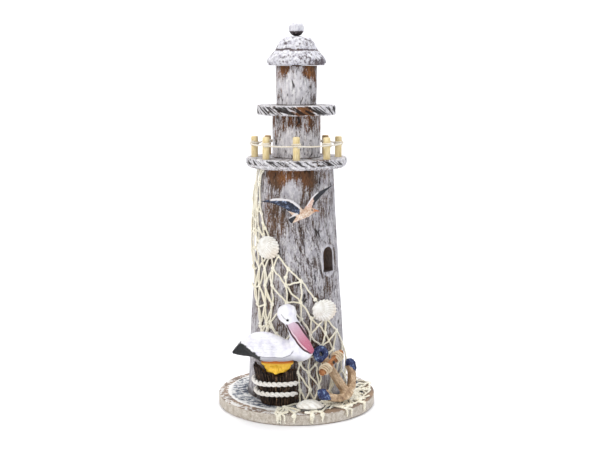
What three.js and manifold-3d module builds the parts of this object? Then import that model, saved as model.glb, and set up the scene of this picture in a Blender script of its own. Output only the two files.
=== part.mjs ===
// Wooden lighthouse souvenir: a turned and carved timber tower on a round base,
// dressed with a knotted fishing net, shells, a gull, a pelican on a piling and
// a small anchor. Millimetres, +Z up. The origin is the centre of the base's
// underside and the front of the tower faces -Y.
import * as THREE from "three";
import { mergeVertices } from "three/addons/utils/BufferGeometryUtils.js";
import Module from "manifold-3d";

const wasm = await Module();
wasm.setup();

// ---------------------------------------------------------------- dimensions
const GAP = 0.3; // glue line between pieces that touch

const BASE_R = 68.5; // round base plate
const BASE_RING_Z = 9.8; // top of its outer ring
const BASE_TOP_Z = 10.4; // top of its raised middle
const BASE_STEP_R = 59;

const TOWER_Z0 = BASE_TOP_Z + GAP;
const TOWER_Z1 = 207.7;
const TOWER_PROFILE = [ // radius at height
  [43.4, TOWER_Z0], [43.0, 13.5], [42.0, 18], [41.5, 45], [40.5, 64], [39.5, 82],
  [38.0, 100], [35.8, 135], [33.6, 170], [33.0, 186], [31.6, TOWER_Z1],
];

const GALLERY_R = 43.1;
const GALLERY_Z = [208.0, 216.3];
const WATCH_R = 20.5;
const WATCH_Z = [216.6, 251.9];
const LANTERN_DECK_R = 33.6;
const LANTERN_DECK_Z = [252.2, 260.6];
const LANTERN_R = [16.9, 17.6];
const LANTERN_Z = [260.9, 293.4];
const DOME_PROFILE = [ // bell roof: radius at height
  [23.4, 293.7], [25.2, 296.3], [24.6, 298.8], [20.8, 303.7], [18.1, 306.8], [16.8, 309.6],
  [14.6, 313.3], [10.7, 317.0], [6.0, 317.85],
];
const BALL_R = 6.5;
const BALL_Z = 324.3;

const DOWEL_R = 5; // beech dowels inside the stack
const DOME_DOWEL_R = 4;
const BALL_DOWEL_R = 1.6;

const SCREW_X = 18; // countersunk wood screws through the base into the tower
const SCREW_SHANK_R = 2.1;
const SCREW_HEAD_R = 4.2;

const POST_R = 3.0; // gallery rail posts
const POST_RING_R = 35.8;
const POST_SOCKET = 3.0; // depth of the blind hole under each post
const POST_TOPS = [235.6, 234.6, 234.0, 233.4, 233.8, 233.2, 234.2, 234.8];
const ROPE_R = 0.75;
const ROPE_Z = 228.2;

const WINDOW = { azimuth: 49, width: 12, height: 21, z: 131.4, depth: 11 };

const PILE_TOP = { x: -16.5, y: -33.5, r: 19.5, z: 39.0 };
const PILE_FOOT = { x: -13.6, y: -33.2, r: 16.8, z: BASE_TOP_Z + GAP };
const PILE_ROPE_R = 1.8;
const PILE_ROPES = [{ name: "piling_rope_upper", z: 30.4 }, { name: "piling_rope_lower", z: 21.4 }];

const ANCHOR_T = 6.4; // thickness of the anchor's timber
const ANCHOR = { ringY: 42.3, ringOuter: 7.2, ringInner: 3.2, shankHalf: 3.2, armR: 20.5 };
const STOCK = { y: 32.6, half: 15, r: 2.7 };

const NET_IN = 0.7; // the net lies this far off the timber
const NET_OUT = 1.3;

// ------------------------------------------------------------------- helpers
const RAD = Math.PI / 180;

/** A closed mesh with shared vertices, facing out, as a solid. */
function solid(geometry, matrix) {
  let g = geometry.clone();
  if (matrix) g.applyMatrix4(matrix);
  for (const name of Object.keys(g.attributes)) if (name !== "position") g.deleteAttribute(name);
  g = mergeVertices(g, 1e-4);
  const p = g.attributes.position.array;
  const src = g.index.array;
  const tri = [];
  for (let i = 0; i < src.length; i += 3) {
    const [a, b, c] = [src[i], src[i + 1], src[i + 2]];
    if (a !== b && b !== c && a !== c) tri.push(a, b, c);
  }
  let volume = 0;
  for (let i = 0; i < tri.length; i += 3) {
    const [a, b, c] = [tri[i] * 3, tri[i + 1] * 3, tri[i + 2] * 3];
    volume += p[a] * (p[b + 1] * p[c + 2] - p[b + 2] * p[c + 1])
      - p[a + 1] * (p[b] * p[c + 2] - p[b + 2] * p[c])
      + p[a + 2] * (p[b] * p[c + 1] - p[b + 1] * p[c]);
  }
  if (volume < 0) for (let i = 0; i < tri.length; i += 3) [tri[i], tri[i + 1]] = [tri[i + 1], tri[i]];
  return new wasm.Manifold(new wasm.Mesh({
    numProp: 3, vertProperties: new Float32Array(p), triVerts: new Uint32Array(tri),
  }));
}

function toGeometry(body) {
  const m = body.getMesh();
  const g = new THREE.BufferGeometry();
  g.setAttribute("position", new THREE.BufferAttribute(new Float32Array(m.vertProperties), 3));
  g.setIndex(new THREE.BufferAttribute(new Uint32Array(m.triVerts), 1));
  g.computeVertexNormals();
  return g;
}

/** Solid of revolution about Z from [radius, height] pairs that start and end on the axis. */
function turned(profile, segments) {
  const g = new THREE.LatheGeometry(profile.map(([r, z]) => new THREE.Vector2(r, z)), segments);
  g.rotateX(Math.PI / 2);
  return g;
}

function at(x, y, z) { return new THREE.Matrix4().makeTranslation(x, y, z); }

/** Point at an azimuth (0 = front, positive towards +X). */
function around(azimuth, radius, z) {
  return new THREE.Vector3(Math.sin(azimuth * RAD) * radius, -Math.cos(azimuth * RAD) * radius, z);
}

function towerRadius(z) {
  const P = TOWER_PROFILE;
  if (z <= P[0][1]) return P[0][0];
  for (let i = 1; i < P.length; i++) {
    if (z <= P[i][1]) {
      const t = (z - P[i - 1][1]) / (P[i][1] - P[i - 1][1]);
      return P[i - 1][0] + t * (P[i][0] - P[i - 1][0]);
    }
  }
  return P[P.length - 1][0];
}

/** A turned block with a blind or through hole for a dowel: hole = [radius, bottom height, top height]. */
function block(outer, holes, segments) {
  const z0 = outer[0][1];
  const z1 = outer[outer.length - 1][1];
  const below = holes.below;
  const above = holes.above;
  const start = below ? [[0, below[1]], [below[0], below[1]], [below[0], z0]] : [[0, z0]];
  const end = above ? [[above[0], z1], [above[0], above[1]], [0, above[1]]] : [[0, z1]];
  return turned([...start, ...outer, ...end], segments);
}

/** A turned ring with a hole right through. */
function washer(outer, holeR, segments) {
  const z0 = outer[0][1];
  const z1 = outer[outer.length - 1][1];
  return turned([[holeR, z0], ...outer, [holeR, z1], [holeR, z0]], segments);
}

/** Extruded flat shape from [x, y] pairs, thickness along +Z, centred on z = 0. */
function plate(points, thickness) {
  const g = new THREE.ExtrudeGeometry(new THREE.Shape(points.map(([x, y]) => new THREE.Vector2(x, y))), {
    depth: thickness, bevelEnabled: false,
  });
  g.translate(0, 0, -thickness / 2);
  return g;
}

function circlePoints(cx, cy, r, n) {
  return Array.from({ length: n }, (_, i) => [cx + r * Math.cos((i / n) * 2 * Math.PI), cy + r * Math.sin((i / n) * 2 * Math.PI)]);
}

const group = new THREE.Group();

function add(parent, name, geometry, material) {
  const mesh = new THREE.Mesh(geometry, material);
  mesh.name = name;
  parent.add(mesh);
  return mesh;
}

// ----------------------------------------------------------------- materials
const M = (color, roughness, metalness = 0) => new THREE.MeshStandardMaterial({ color, roughness, metalness });
const washedWood = M(0xb9aa9c, 0.85);
const baseWood = M(0xa49a8e, 0.85);
const rawWood = M(0xd8bf94, 0.8);
const postWood = M(0xf6e6b8, 0.7);
const steel = M(0x9a9a98, 0.35, 1);
const twine = M(0xf2ecd8, 0.9);
const shell = M(0xfaf8f2, 0.45);
const resinGull = M(0xb08a78, 0.6);
const resinPelican = M(0xf4f3f0, 0.55);
const resinFeet = M(0xf2b640, 0.5);
const darkWood = M(0x3a2a22, 0.85);
const anchorWood = M(0xae9270, 0.8);
const stockWood = M(0xc2a684, 0.8);

// ---------------------------------------------------------------- base plate
const screwHole = (x) => solid(turned([
  [0, -1], [SCREW_HEAD_R + GAP, -1], [SCREW_HEAD_R + GAP, 1.2], [SCREW_SHANK_R + GAP, 3.6],
  [SCREW_SHANK_R + GAP, 36.3], [0, 36.3],
], 16), at(x, 0, 0));
const holes = screwHole(-SCREW_X).add(screwHole(SCREW_X));

const plateBody = solid(turned([
  [0, 0], [67.6, 0], [BASE_R, 0.9], [BASE_R, 8.7], [67.7, 9.6], [66.8, BASE_RING_Z],
  [BASE_STEP_R + 0.5, BASE_RING_Z], [BASE_STEP_R, BASE_TOP_Z], [0, BASE_TOP_Z],
], 56));
add(group, "base_plate", toGeometry(plateBody.subtract(holes)), baseWood);

for (const [name, x] of [["base_screw_left", -SCREW_X], ["base_screw_right", SCREW_X]]) {
  const screw = add(group, name, turned([
    [0, 0], [SCREW_HEAD_R, 0], [SCREW_HEAD_R, 0.5], [SCREW_SHANK_R, 2.7], [SCREW_SHANK_R, 31], [0, 35.2],
  ], 12), steel);
  screw.position.set(x, 0, 0.6);
}

// --------------------------------------------------------------------- tower
const tower = new THREE.Group();
group.add(tower);

const towerBody = solid(block(TOWER_PROFILE, { above: [DOWEL_R + GAP, 188] }, 40));
const nichePoints = [];
{
  const w = WINDOW.width / 2;
  const straight = WINDOW.height - w;
  nichePoints.push([-w, -WINDOW.height / 2], [w, -WINDOW.height / 2]);
  for (let i = 0; i <= 10; i++) {
    const a = (i / 10) * Math.PI;
    nichePoints.push([w * Math.cos(a), -WINDOW.height / 2 + straight + w * Math.sin(a)]);
  }
}
const nicheR = towerRadius(WINDOW.z);
const niche = plate(nichePoints, 30);
// the niche's own axes: x along the tower's skin, y up, z out of the wall
const outward = around(WINDOW.azimuth, 1, 0);
const nicheMatrix = new THREE.Matrix4().makeBasis(
  new THREE.Vector3(-outward.y, outward.x, 0), new THREE.Vector3(0, 0, 1), outward,
);
nicheMatrix.setPosition(around(WINDOW.azimuth, nicheR - WINDOW.depth + 15, WINDOW.z));
add(tower, "tower_body", toGeometry(towerBody.subtract(solid(niche, nicheMatrix)).subtract(holes)), washedWood);

// ------------------------------------------------------------- upper storeys
let deck = solid(washer([
  [39.8, GALLERY_Z[0]], [42.2, 209.4], [GALLERY_R, 211.4], [GALLERY_R, 215.6], [42.4, GALLERY_Z[1]],
], DOWEL_R + GAP, 40));
for (let i = 0; i < 8; i++) {
  const p = around(i * 45, POST_RING_R, 0);
  deck = deck.subtract(solid(turned([
    [0, GALLERY_Z[1] - POST_SOCKET], [POST_R + GAP, GALLERY_Z[1] - POST_SOCKET],
    [POST_R + GAP, GALLERY_Z[1] + 2], [0, GALLERY_Z[1] + 2],
  ], 12), at(p.x, p.y, 0)));
}
add(tower, "gallery_deck", toGeometry(deck), washedWood);

add(tower, "watch_room", block(
  [[WATCH_R, WATCH_Z[0]], [WATCH_R, WATCH_Z[1]]],
  { below: [DOWEL_R + GAP, 231.3], above: [DOWEL_R + GAP, 238] }, 28,
), washedWood);

add(tower, "lantern_deck", washer([
  [32.8, LANTERN_DECK_Z[0]], [LANTERN_DECK_R, 253.2], [LANTERN_DECK_R, 259.7], [32.8, LANTERN_DECK_Z[1]],
], DOWEL_R + GAP, 40), washedWood);

add(tower, "lantern_room", block(
  [[LANTERN_R[0], LANTERN_Z[0]], [LANTERN_R[1], LANTERN_Z[1]]],
  { below: [DOWEL_R + GAP, 273.3], above: [DOME_DOWEL_R + GAP, 281] }, 28,
), washedWood);

add(tower, "dome_roof", block(
  DOME_PROFILE, { below: [DOME_DOWEL_R + GAP, 304.3], above: [BALL_DOWEL_R + GAP, 309] }, 32,
), washedWood);

const ballProfile = [];
for (let i = 0; i <= 8; i++) {
  const a = -70 + (160 / 8) * i;
  ballProfile.push([Math.max(0, BALL_R * Math.cos(a * RAD)), BALL_R * Math.sin(a * RAD)]);
}
ballProfile[8][0] = 0;
const ballSeat = ballProfile[0][1];
add(tower, "finial_ball", turned([
  [0, -1.2], [BALL_DOWEL_R + GAP, -1.2], [BALL_DOWEL_R + GAP, ballSeat], ...ballProfile,
], 20), washedWood).position.z = BALL_Z;

// dowels inside the stack, each shorter than its holes
const dowel = (r, z0, z1) => turned([[0, z0], [r, z0], [r, z1], [0, z1]], 12);
add(tower, "gallery_dowel", dowel(DOWEL_R, 188.4, 230.9), rawWood);
add(tower, "lantern_dowel", dowel(DOWEL_R, 238.4, 272.9), rawWood);
add(tower, "dome_dowel", dowel(DOME_DOWEL_R, 281.4, 303.9), rawWood);
add(tower, "finial_dowel", dowel(BALL_DOWEL_R, 309.4, BALL_Z - 1.6), rawWood);

// -------------------------------------------------------------- gallery rail
const rail = new THREE.Group();
group.add(rail);
const postFoot = GALLERY_Z[1] - POST_SOCKET + GAP;
for (let i = 0; i < 8; i++) {
  const h = POST_TOPS[i] - postFoot;
  const post = add(rail, `rail_post_${i + 1}`, turned([
    [0, 0], [POST_R, 0], [POST_R, h - 0.9], [POST_R - 0.8, h], [0, h],
  ], 12), postWood);
  post.position.copy(around(i * 45, POST_RING_R, postFoot));
}
// the rope runs straight from post to post, round the outside of each, and sags a little
{
  const points = [];
  const out = POST_R + ROPE_R + GAP + 0.1;
  for (let i = 0; i < 8; i++) {
    const c = around(i * 45, POST_RING_R, ROPE_Z);
    for (const turn of [-62, -31, 0, 31, 62]) {
      const a = i * 45 + turn;
      points.push(new THREE.Vector3(c.x + Math.sin(a * RAD) * out, c.y - Math.cos(a * RAD) * out, ROPE_Z));
    }
    const mid = around(i * 45 + 22.5, POST_RING_R * Math.cos(22.5 * RAD) + 2.6, ROPE_Z - 0.7);
    points.push(mid);
  }
  const path = new THREE.CatmullRomCurve3(points, true, "centripetal");
  add(rail, "rail_rope", new THREE.TubeGeometry(path, 96, ROPE_R, 5, true), twine);
}

// ---------------------------------------------------------------------- gull
{
  const bodyMatrix = new THREE.Matrix4().compose(
    new THREE.Vector3(4.6, -38.6, 171.2),
    new THREE.Quaternion().setFromAxisAngle(new THREE.Vector3(0, 1, 0), -24 * RAD),
    new THREE.Vector3(10.2, 4.1, 4.3),
  );
  const headMatrix = new THREE.Matrix4().compose(
    new THREE.Vector3(12.2, -38.8, 175.2), new THREE.Quaternion(), new THREE.Vector3(3.2, 2.9, 2.9),
  );
  const ball = new THREE.SphereGeometry(1, 12, 8);
  const wing = (points) => {
    const g = plate(points, 2.2);
    g.rotateX(Math.PI / 2); // shape's y becomes z
    return solid(g, at(0, -38.6, 0));
  };
  const left = wing([[4, 173], [-1.5, 181], [-7, 184], [-17, 184.9], [-28.4, 182.6], [-20, 180.8], [-12, 177.6], [-3, 170.5]]);
  const right = wing([[7.5, 178], [12.2, 185.3], [16, 189.4], [29.2, 195.8], [21.5, 188.6], [17.4, 184], [13, 176.5], [8, 172]]);
  const bill = new THREE.ConeGeometry(1.3, 5, 8);
  bill.rotateZ(-Math.PI / 2);
  const tail = wing([[2, 172.5], [-6.2, 168.2], [-4.6, 164.6], [4, 168]]);
  const gull = solid(ball, bodyMatrix).add(solid(ball, headMatrix)).add(left).add(right).add(tail)
    .add(solid(bill, at(16.4, -38.8, 174.9)));
  add(group, "seagull", toGeometry(gull), resinGull);
}

// -------------------------------------------------------------------- shells
const shellGeometry = (across, along, depth) => {
  const g = turned([
    [0, 0], [1, 0], [0.98, 0.2], [0.8, 0.66], [0, 1],
  ], 18);
  g.scale(across / 2, along / 2, depth);
  return g;
};
/** A shell standing off the tower's skin: its back faces the tower, turned a little to the front. */
function shellOnTower(name, azimuth, facing, z, across, along, depth, offset) {
  const mesh = add(group, name, shellGeometry(across, along, depth), shell);
  const out = around(facing, 1, 0.05).normalize();
  const side = new THREE.Vector3(-out.y, out.x, 0).normalize();
  const up = new THREE.Vector3().crossVectors(out, side);
  mesh.quaternion.setFromRotationMatrix(new THREE.Matrix4().makeBasis(side, up, out));
  mesh.position.copy(around(azimuth, towerRadius(z) + offset, z));
}
shellOnTower("scallop_shell_upper", -37.5, -27.5, 142.6, 20.5, 19.5, 5.4, 3.1);
shellOnTower("scallop_shell_lower", 33.5, 23.5, 89.8, 22, 18.5, 5.4, 3.3);
{
  const mesh = add(group, "base_shell", shellGeometry(23.5, 14.5, 6.2), shell);
  mesh.position.set(11.2, -56, BASE_TOP_Z + NET_OUT + 0.5);
}

// ------------------------------------------------------------------- piling
const pileMatrix = (z, extra) => {
  const t = (z - PILE_FOOT.z) / (PILE_TOP.z - PILE_FOOT.z);
  const mix = (k) => PILE_FOOT[k] + t * (PILE_TOP[k] - PILE_FOOT[k]);
  return { x: mix("x"), y: mix("y"), r: mix("r") + extra };
};
{
  // a leaning, slightly flared cylinder, cut away behind where it fits round the tower
  const n = 28;
  const rings = [PILE_FOOT.z, 20, 30, PILE_TOP.z].map((z) => ({ z, ...pileMatrix(z, 0) }));
  const positions = [];
  const index = [];
  for (const ring of rings) for (let i = 0; i < n; i++) {
    const a = (i / n) * 2 * Math.PI;
    const flute = i % 2 ? 1 : 0.965;
    positions.push(ring.x + ring.r * flute * Math.cos(a), ring.y + ring.r * flute * Math.sin(a), ring.z);
  }
  for (let k = 0; k < rings.length - 1; k++) for (let i = 0; i < n; i++) {
    const [a, b, c, d] = [k * n + i, k * n + (i + 1) % n, (k + 1) * n + (i + 1) % n, (k + 1) * n + i];
    index.push(a, b, c, a, c, d);
  }
  const last = (rings.length - 1) * n;
  for (let i = 1; i < n - 1; i++) index.push(0, i + 1, i, last, last + i, last + i + 1);
  const g = new THREE.BufferGeometry();
  g.setAttribute("position", new THREE.Float32BufferAttribute(positions, 3));
  g.setIndex(index);
  const keepOff = solid(turned([[0, 0], [44.9, 0], [44.4, 14], [43.6, 20], [43.2, 45], [42.6, 56], [0, 56]], 72));
  add(group, "piling", toGeometry(solid(g).subtract(keepOff)), darkWood);
}
for (const { name, z } of PILE_ROPES) {
  const ring = pileMatrix(z, PILE_ROPE_R + GAP + 0.1);
  const clear = towerRadius(z) + PILE_ROPE_R + 1.9;
  const arc = [];
  for (let d = -260; d <= 80; d += 10) {
    const x = ring.x + ring.r * Math.cos(d * RAD);
    const y = ring.y + ring.r * Math.sin(d * RAD);
    if (Math.hypot(x, y) > clear && y < 0) arc.push(new THREE.Vector3(x, y, z));
  }
  const section = new THREE.Shape(circlePoints(0, 0, PILE_ROPE_R, 6).map(([x, y]) => new THREE.Vector2(x, y)));
  add(group, name, new THREE.ExtrudeGeometry(section, {
    steps: arc.length, bevelEnabled: false, extrudePath: new THREE.CatmullRomCurve3(arc),
  }), twine);
}

// ------------------------------------------------------------------ pelican
{
  const ball = new THREE.SphereGeometry(1, 14, 10);
  const blob = (x, y, z, sx, sy, sz, tilt = 0) => solid(ball, new THREE.Matrix4().compose(
    new THREE.Vector3(x, y, z),
    new THREE.Quaternion().setFromAxisAngle(new THREE.Vector3(0, 1, 0), tilt * RAD),
    new THREE.Vector3(sx, sy, sz),
  ));
  const link = (a, b, r0, r1) => {
    const from = new THREE.Vector3(...a);
    const to = new THREE.Vector3(...b);
    const g = new THREE.CylinderGeometry(r1, r0, from.distanceTo(to), 10);
    const m = new THREE.Matrix4().compose(
      from.clone().add(to).multiplyScalar(0.5),
      new THREE.Quaternion().setFromUnitVectors(new THREE.Vector3(0, 1, 0), to.clone().sub(from).normalize()),
      new THREE.Vector3(1, 1, 1),
    );
    return solid(g, m);
  };
  const Y = -51.6;
  const tail = plate([[-30, 69], [-42, 68.5], [-47.5, 65.2], [-53.4, 58.6], [-52, 56.2], [-38, 54.4], [-30, 54]], 13);
  tail.rotateX(Math.PI / 2);
  const body = blob(-18, Y, 62, 24.5, 10.8, 12, -3)
    .add(blob(2.5, Y - 1.9, 59.2, 11.5, 9.2, 9))
    .add(solid(tail, at(0, Y, 0)))
    .add(link([-1, Y - 1.2, 64], [-4.8, Y - 0.8, 80], 8.0, 6.2))
    .add(link([-4.8, Y - 0.8, 80], [-7.8, Y - 0.8, 91], 6.2, 6.8))
    .add(blob(-7.4, Y - 0.8, 91.3, 7.9, 6.9, 7.9))
    .add(link([-2.2, Y - 3.4, 84], [13, Y - 7.2, 60.8], 4.8, 2.8))
    .add(blob(13, Y - 7.2, 60.8, 2.9, 2.9, 2.9));
  add(group, "pelican", toGeometry(body), resinPelican);

  // two webbed feet side by side on the piling's top
  const foot = (x, turn) => solid(plate([
    [-2.2, 6.5], [2.2, 6.5], [6.6, -5.4], [2.6, -4.4], [0, -7.2], [-2.6, -4.4], [-6.6, -5.4],
  ], 3), new THREE.Matrix4().makeTranslation(x, -49.2, 41.2).multiply(new THREE.Matrix4().makeRotationZ(turn * RAD)));
  const leg = (x) => link([x, -48.4, 41], [x, -48.4, 48.6], 3.1, 3.4);
  const feet = foot(-22.6, -8).add(foot(-11.8, 8)).add(leg(-22.3)).add(leg(-12.1))
    .add(solid(new THREE.BoxGeometry(12, 4, 2.4), at(-17.2, -47.4, 41)));
  const under = solid(ball, new THREE.Matrix4().compose(
    new THREE.Vector3(-18, Y, 62),
    new THREE.Quaternion().setFromAxisAngle(new THREE.Vector3(0, 1, 0), -3 * RAD),
    new THREE.Vector3(24.5 + 0.6, 10.8 + 0.6, 12 + 0.6),
  )).add(blob(2.5, Y - 1.9, 59.2, 12.1, 9.8, 9.6));
  add(group, "pelican_feet", toGeometry(feet.subtract(under)), resinFeet);
}

// ------------------------------------------------------------------- anchor
{
  const anchor = new THREE.Group();
  anchor.matrix.makeBasis(
    new THREE.Vector3(0.5926, 0.6761, 0.4379),
    new THREE.Vector3(-0.5282, -0.0842, 0.8449),
    new THREE.Vector3(0.6081, -0.732, 0.3072),
  );
  anchor.quaternion.setFromRotationMatrix(anchor.matrix);
  anchor.position.set(42.8, -39.7, 18.3);
  group.add(anchor);

  const A = ANCHOR;
  const sector = [];
  const centre = A.armR;
  for (let i = 0; i <= 14; i++) {
    const a = (-90 - 72 + (144 / 14) * i) * RAD;
    sector.push([(A.armR + 3.1) * Math.cos(a), centre + (A.armR + 3.1) * Math.sin(a)]);
  }
  for (let i = 14; i >= 0; i--) {
    const a = (-90 - 72 + (144 / 14) * i) * RAD;
    sector.push([(A.armR - 3.1) * Math.cos(a), centre + (A.armR - 3.1) * Math.sin(a)]);
  }
  const fluke = (s) => solid(plate([
    [s * 15.2, 11.4], [s * 21.0, 8.6], [s * 25.4, 14.6], [s * 21.6, 22.0], [s * 14.2, 17.6],
  ], ANCHOR_T));
  const eye = new THREE.Shape(circlePoints(0, 0, A.ringOuter, 24).map(([x, y]) => new THREE.Vector2(x, y)));
  eye.holes.push(new THREE.Path(circlePoints(0, 0, A.ringInner, 16).map(([x, y]) => new THREE.Vector2(x, y))));
  const eyeGeometry = new THREE.ExtrudeGeometry(eye, { depth: ANCHOR_T - 1.2, bevelEnabled: false });
  eyeGeometry.translate(0, A.ringY, -(ANCHOR_T - 1.2) / 2);
  const nailHole = (z0, z1) => solid(turned([[0, z0], [0.9, z0], [0.9, z1], [0, z1]], 8), at(0, STOCK.y, 0));
  const body = solid(plate([
    [-A.shankHalf, 0], [A.shankHalf, 0], [A.shankHalf, A.ringY - 5.5], [-A.shankHalf, A.ringY - 5.5],
  ], ANCHOR_T))
    .add(solid(plate(sector, ANCHOR_T)))
    .add(solid(plate([[-5.2, -2.2], [5.2, -2.2], [3.2, 5], [-3.2, 5]], ANCHOR_T)))
    .add(fluke(1)).add(fluke(-1))
    .add(solid(eyeGeometry))
    .subtract(nailHole(-0.6, ANCHOR_T));
  add(anchor, "anchor_body", toGeometry(body), anchorWood);

  // the stock crosses in front of the shank and a nail holds it
  const stockZ = ANCHOR_T / 2 + GAP + STOCK.r;
  const rod = turned([
    [0, -STOCK.half], [STOCK.r - 0.7, -STOCK.half], [STOCK.r, -STOCK.half + 1], [STOCK.r, STOCK.half - 1],
    [STOCK.r - 0.7, STOCK.half], [0, STOCK.half],
  ], 14);
  rod.rotateY(Math.PI / 2);
  add(anchor, "anchor_stock", toGeometry(solid(rod, at(0, STOCK.y, stockZ)).subtract(nailHole(-1, 14))), stockWood);

  for (const [name, s] of [["stock_twine_left", -1], ["stock_twine_right", 1]]) {
    const ring = washer([[STOCK.r + 1.3, -4.4], [STOCK.r + 1.5, -3.4], [STOCK.r + 1.5, 3.4], [STOCK.r + 1.3, 4.4]], STOCK.r + GAP, 16);
    ring.rotateY(Math.PI / 2);
    const mesh = add(anchor, name, ring, twine);
    mesh.position.set(s * 8.6, STOCK.y, stockZ);
  }
  const nail = add(anchor, "anchor_nail", turned([
    [0, -0.2], [0.6, 0.6], [0.6, stockZ + STOCK.r + 0.3], [1.3, stockZ + STOCK.r + 0.3],
    [1.3, stockZ + STOCK.r + 0.9], [0, stockZ + STOCK.r + 1.1],
  ], 8), steel);
  nail.position.set(0, STOCK.y, 0);
}

// ---------------------------------------------------------------------- net
// A thin skin with the net's outline: gathered under the gallery on the left,
// fanning out down to the right, over the base and a little over its rim.
{
  const stations = [ // left azimuth, right azimuth, then the point on the timber as {z} or {r, z, up}
    [-97, -58, 206.4], [-98, -55, 190], [-98, -50, 170], [-97, -43, 152], [-93, -26, 137],
    [-80, -4, 121], [-70, 12, 110], [-62, 29, 98], [-54, 46, 85], [-48, 58, 72],
    [-40, 68, 60], [-30, 80, 48], [-20, 91, 36], [-14, 99, 24], [-2, 104, 14.4],
  ];
  const rows = [];
  stations.forEach(([left, right, z], i) => {
    if (i && Math.abs(right - stations[i - 1][1]) > 9) { // a row half way keeps the facets clear of the round timber
      const [l0, r0, z0] = stations[i - 1];
      const half = (z + z0) / 2;
      rows.push({ left: (left + l0) / 2, right: (right + r0) / 2, point: (off) => [towerRadius(half) + off, half] });
    }
    rows.push({ left, right, point: (off) => [towerRadius(z) + off, z] });
  });
  for (const [left, right, r, z] of [
    [6, 105, 46.6, BASE_TOP_Z], [3, 106, 51, BASE_TOP_Z], [-14, 106, 54.6, BASE_TOP_Z], [-20, 106, 59.8, BASE_TOP_Z],
    [-21, 105, 66.6, BASE_RING_Z + 0.2],
  ]) rows.push({ left, right, point: (off) => [r, z + off] });
  rows.push({ left: -21, right: 104, point: (off) => [BASE_R + 0.1 + off * 0.7, 9.3 + off * 0.6] });
  rows.push({ left: -21, right: 103, point: (off) => [BASE_R + 0.1 + off, 7.5] });
  rows.push({ left: -20, right: 102, point: (off) => [BASE_R + 0.1 + off, 3.6] });

  const columns = 13;
  const positions = [];
  const index = [];
  const layer = (off) => {
    for (const row of rows) for (let j = 0; j < columns; j++) {
      const azimuth = row.left + (row.right - row.left) * (j / (columns - 1));
      const [r, z] = row.point(off);
      const p = around(azimuth, r, z);
      positions.push(p.x, p.y, p.z);
    }
  };
  layer(NET_IN);
  layer(NET_OUT);
  const count = rows.length * columns;
  const inner = (i, j) => i * columns + j;
  const outer = (i, j) => count + i * columns + j;
  for (let i = 0; i < rows.length - 1; i++) for (let j = 0; j < columns - 1; j++) {
    index.push(inner(i, j), inner(i, j + 1), inner(i + 1, j), inner(i, j + 1), inner(i + 1, j + 1), inner(i + 1, j));
    index.push(outer(i, j), outer(i + 1, j), outer(i, j + 1), outer(i, j + 1), outer(i + 1, j), outer(i + 1, j + 1));
  }
  const wall = (a, b, c, d) => index.push(a, b, c, a, c, d);
  const last = rows.length - 1;
  for (let j = 0; j < columns - 1; j++) {
    wall(inner(0, j), outer(0, j), outer(0, j + 1), inner(0, j + 1));
    wall(inner(last, j), inner(last, j + 1), outer(last, j + 1), outer(last, j));
  }
  for (let i = 0; i < last; i++) {
    wall(inner(i, 0), inner(i + 1, 0), outer(i + 1, 0), outer(i, 0));
    wall(inner(i, columns - 1), outer(i, columns - 1), outer(i + 1, columns - 1), inner(i + 1, columns - 1));
  }
  const g = new THREE.BufferGeometry();
  g.setAttribute("position", new THREE.Float32BufferAttribute(positions, 3));
  g.setIndex(index);
  add(group, "net_drape", toGeometry(solid(g)), twine);
}

export default group;
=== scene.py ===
import bpy
import math
import numpy as np
from mathutils import Vector, Matrix


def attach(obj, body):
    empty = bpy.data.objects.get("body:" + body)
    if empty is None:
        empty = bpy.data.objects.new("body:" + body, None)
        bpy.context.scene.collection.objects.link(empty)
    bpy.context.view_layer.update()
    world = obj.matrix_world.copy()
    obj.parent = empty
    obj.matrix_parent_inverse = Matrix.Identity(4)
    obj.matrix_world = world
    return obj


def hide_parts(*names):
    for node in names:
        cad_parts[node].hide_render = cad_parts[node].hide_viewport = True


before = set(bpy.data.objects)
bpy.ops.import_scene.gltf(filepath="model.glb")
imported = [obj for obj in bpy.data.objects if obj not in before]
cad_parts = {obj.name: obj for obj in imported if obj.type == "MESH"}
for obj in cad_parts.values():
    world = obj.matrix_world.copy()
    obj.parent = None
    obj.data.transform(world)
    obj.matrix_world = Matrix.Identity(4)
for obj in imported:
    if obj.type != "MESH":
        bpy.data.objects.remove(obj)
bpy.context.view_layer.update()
MM = 0.001
RAD = math.pi / 180

# ---------------------------------------------------------------- noise
_rng = np.random.RandomState(11)
_PERM = np.tile(_rng.permutation(256), 3)
_GRAD = np.array([[1, 1, 0], [-1, 1, 0], [1, -1, 0], [-1, -1, 0], [1, 0, 1], [-1, 0, 1],
                  [1, 0, -1], [-1, 0, -1], [0, 1, 1], [0, -1, 1], [0, 1, -1], [0, -1, -1]], float)


def perlin(x, y, z, seed=0):
    """Gradient noise, about -1..1, for arrays of the same length."""
    p = np.stack([np.broadcast_to(a, np.broadcast(x, y, z).shape).ravel() for a in (x, y, z)], 1) + seed * 19.37
    i = np.floor(p).astype(np.int64)
    f = p - i
    i &= 255
    u = f * f * f * (f * (f * 6 - 15) + 10)
    out = np.zeros(len(p))
    for dx in (0, 1):
        wx = u[:, 0] if dx else 1 - u[:, 0]
        for dy in (0, 1):
            wy = u[:, 1] if dy else 1 - u[:, 1]
            for dz in (0, 1):
                wz = u[:, 2] if dz else 1 - u[:, 2]
                h = _PERM[_PERM[_PERM[(i[:, 0] + dx) & 255] + ((i[:, 1] + dy) & 255)] + ((i[:, 2] + dz) & 255)] % 12
                g = _GRAD[h]
                out += wx * wy * wz * (g[:, 0] * (f[:, 0] - dx) + g[:, 1] * (f[:, 1] - dy) + g[:, 2] * (f[:, 2] - dz))
    return out * 1.4


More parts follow.
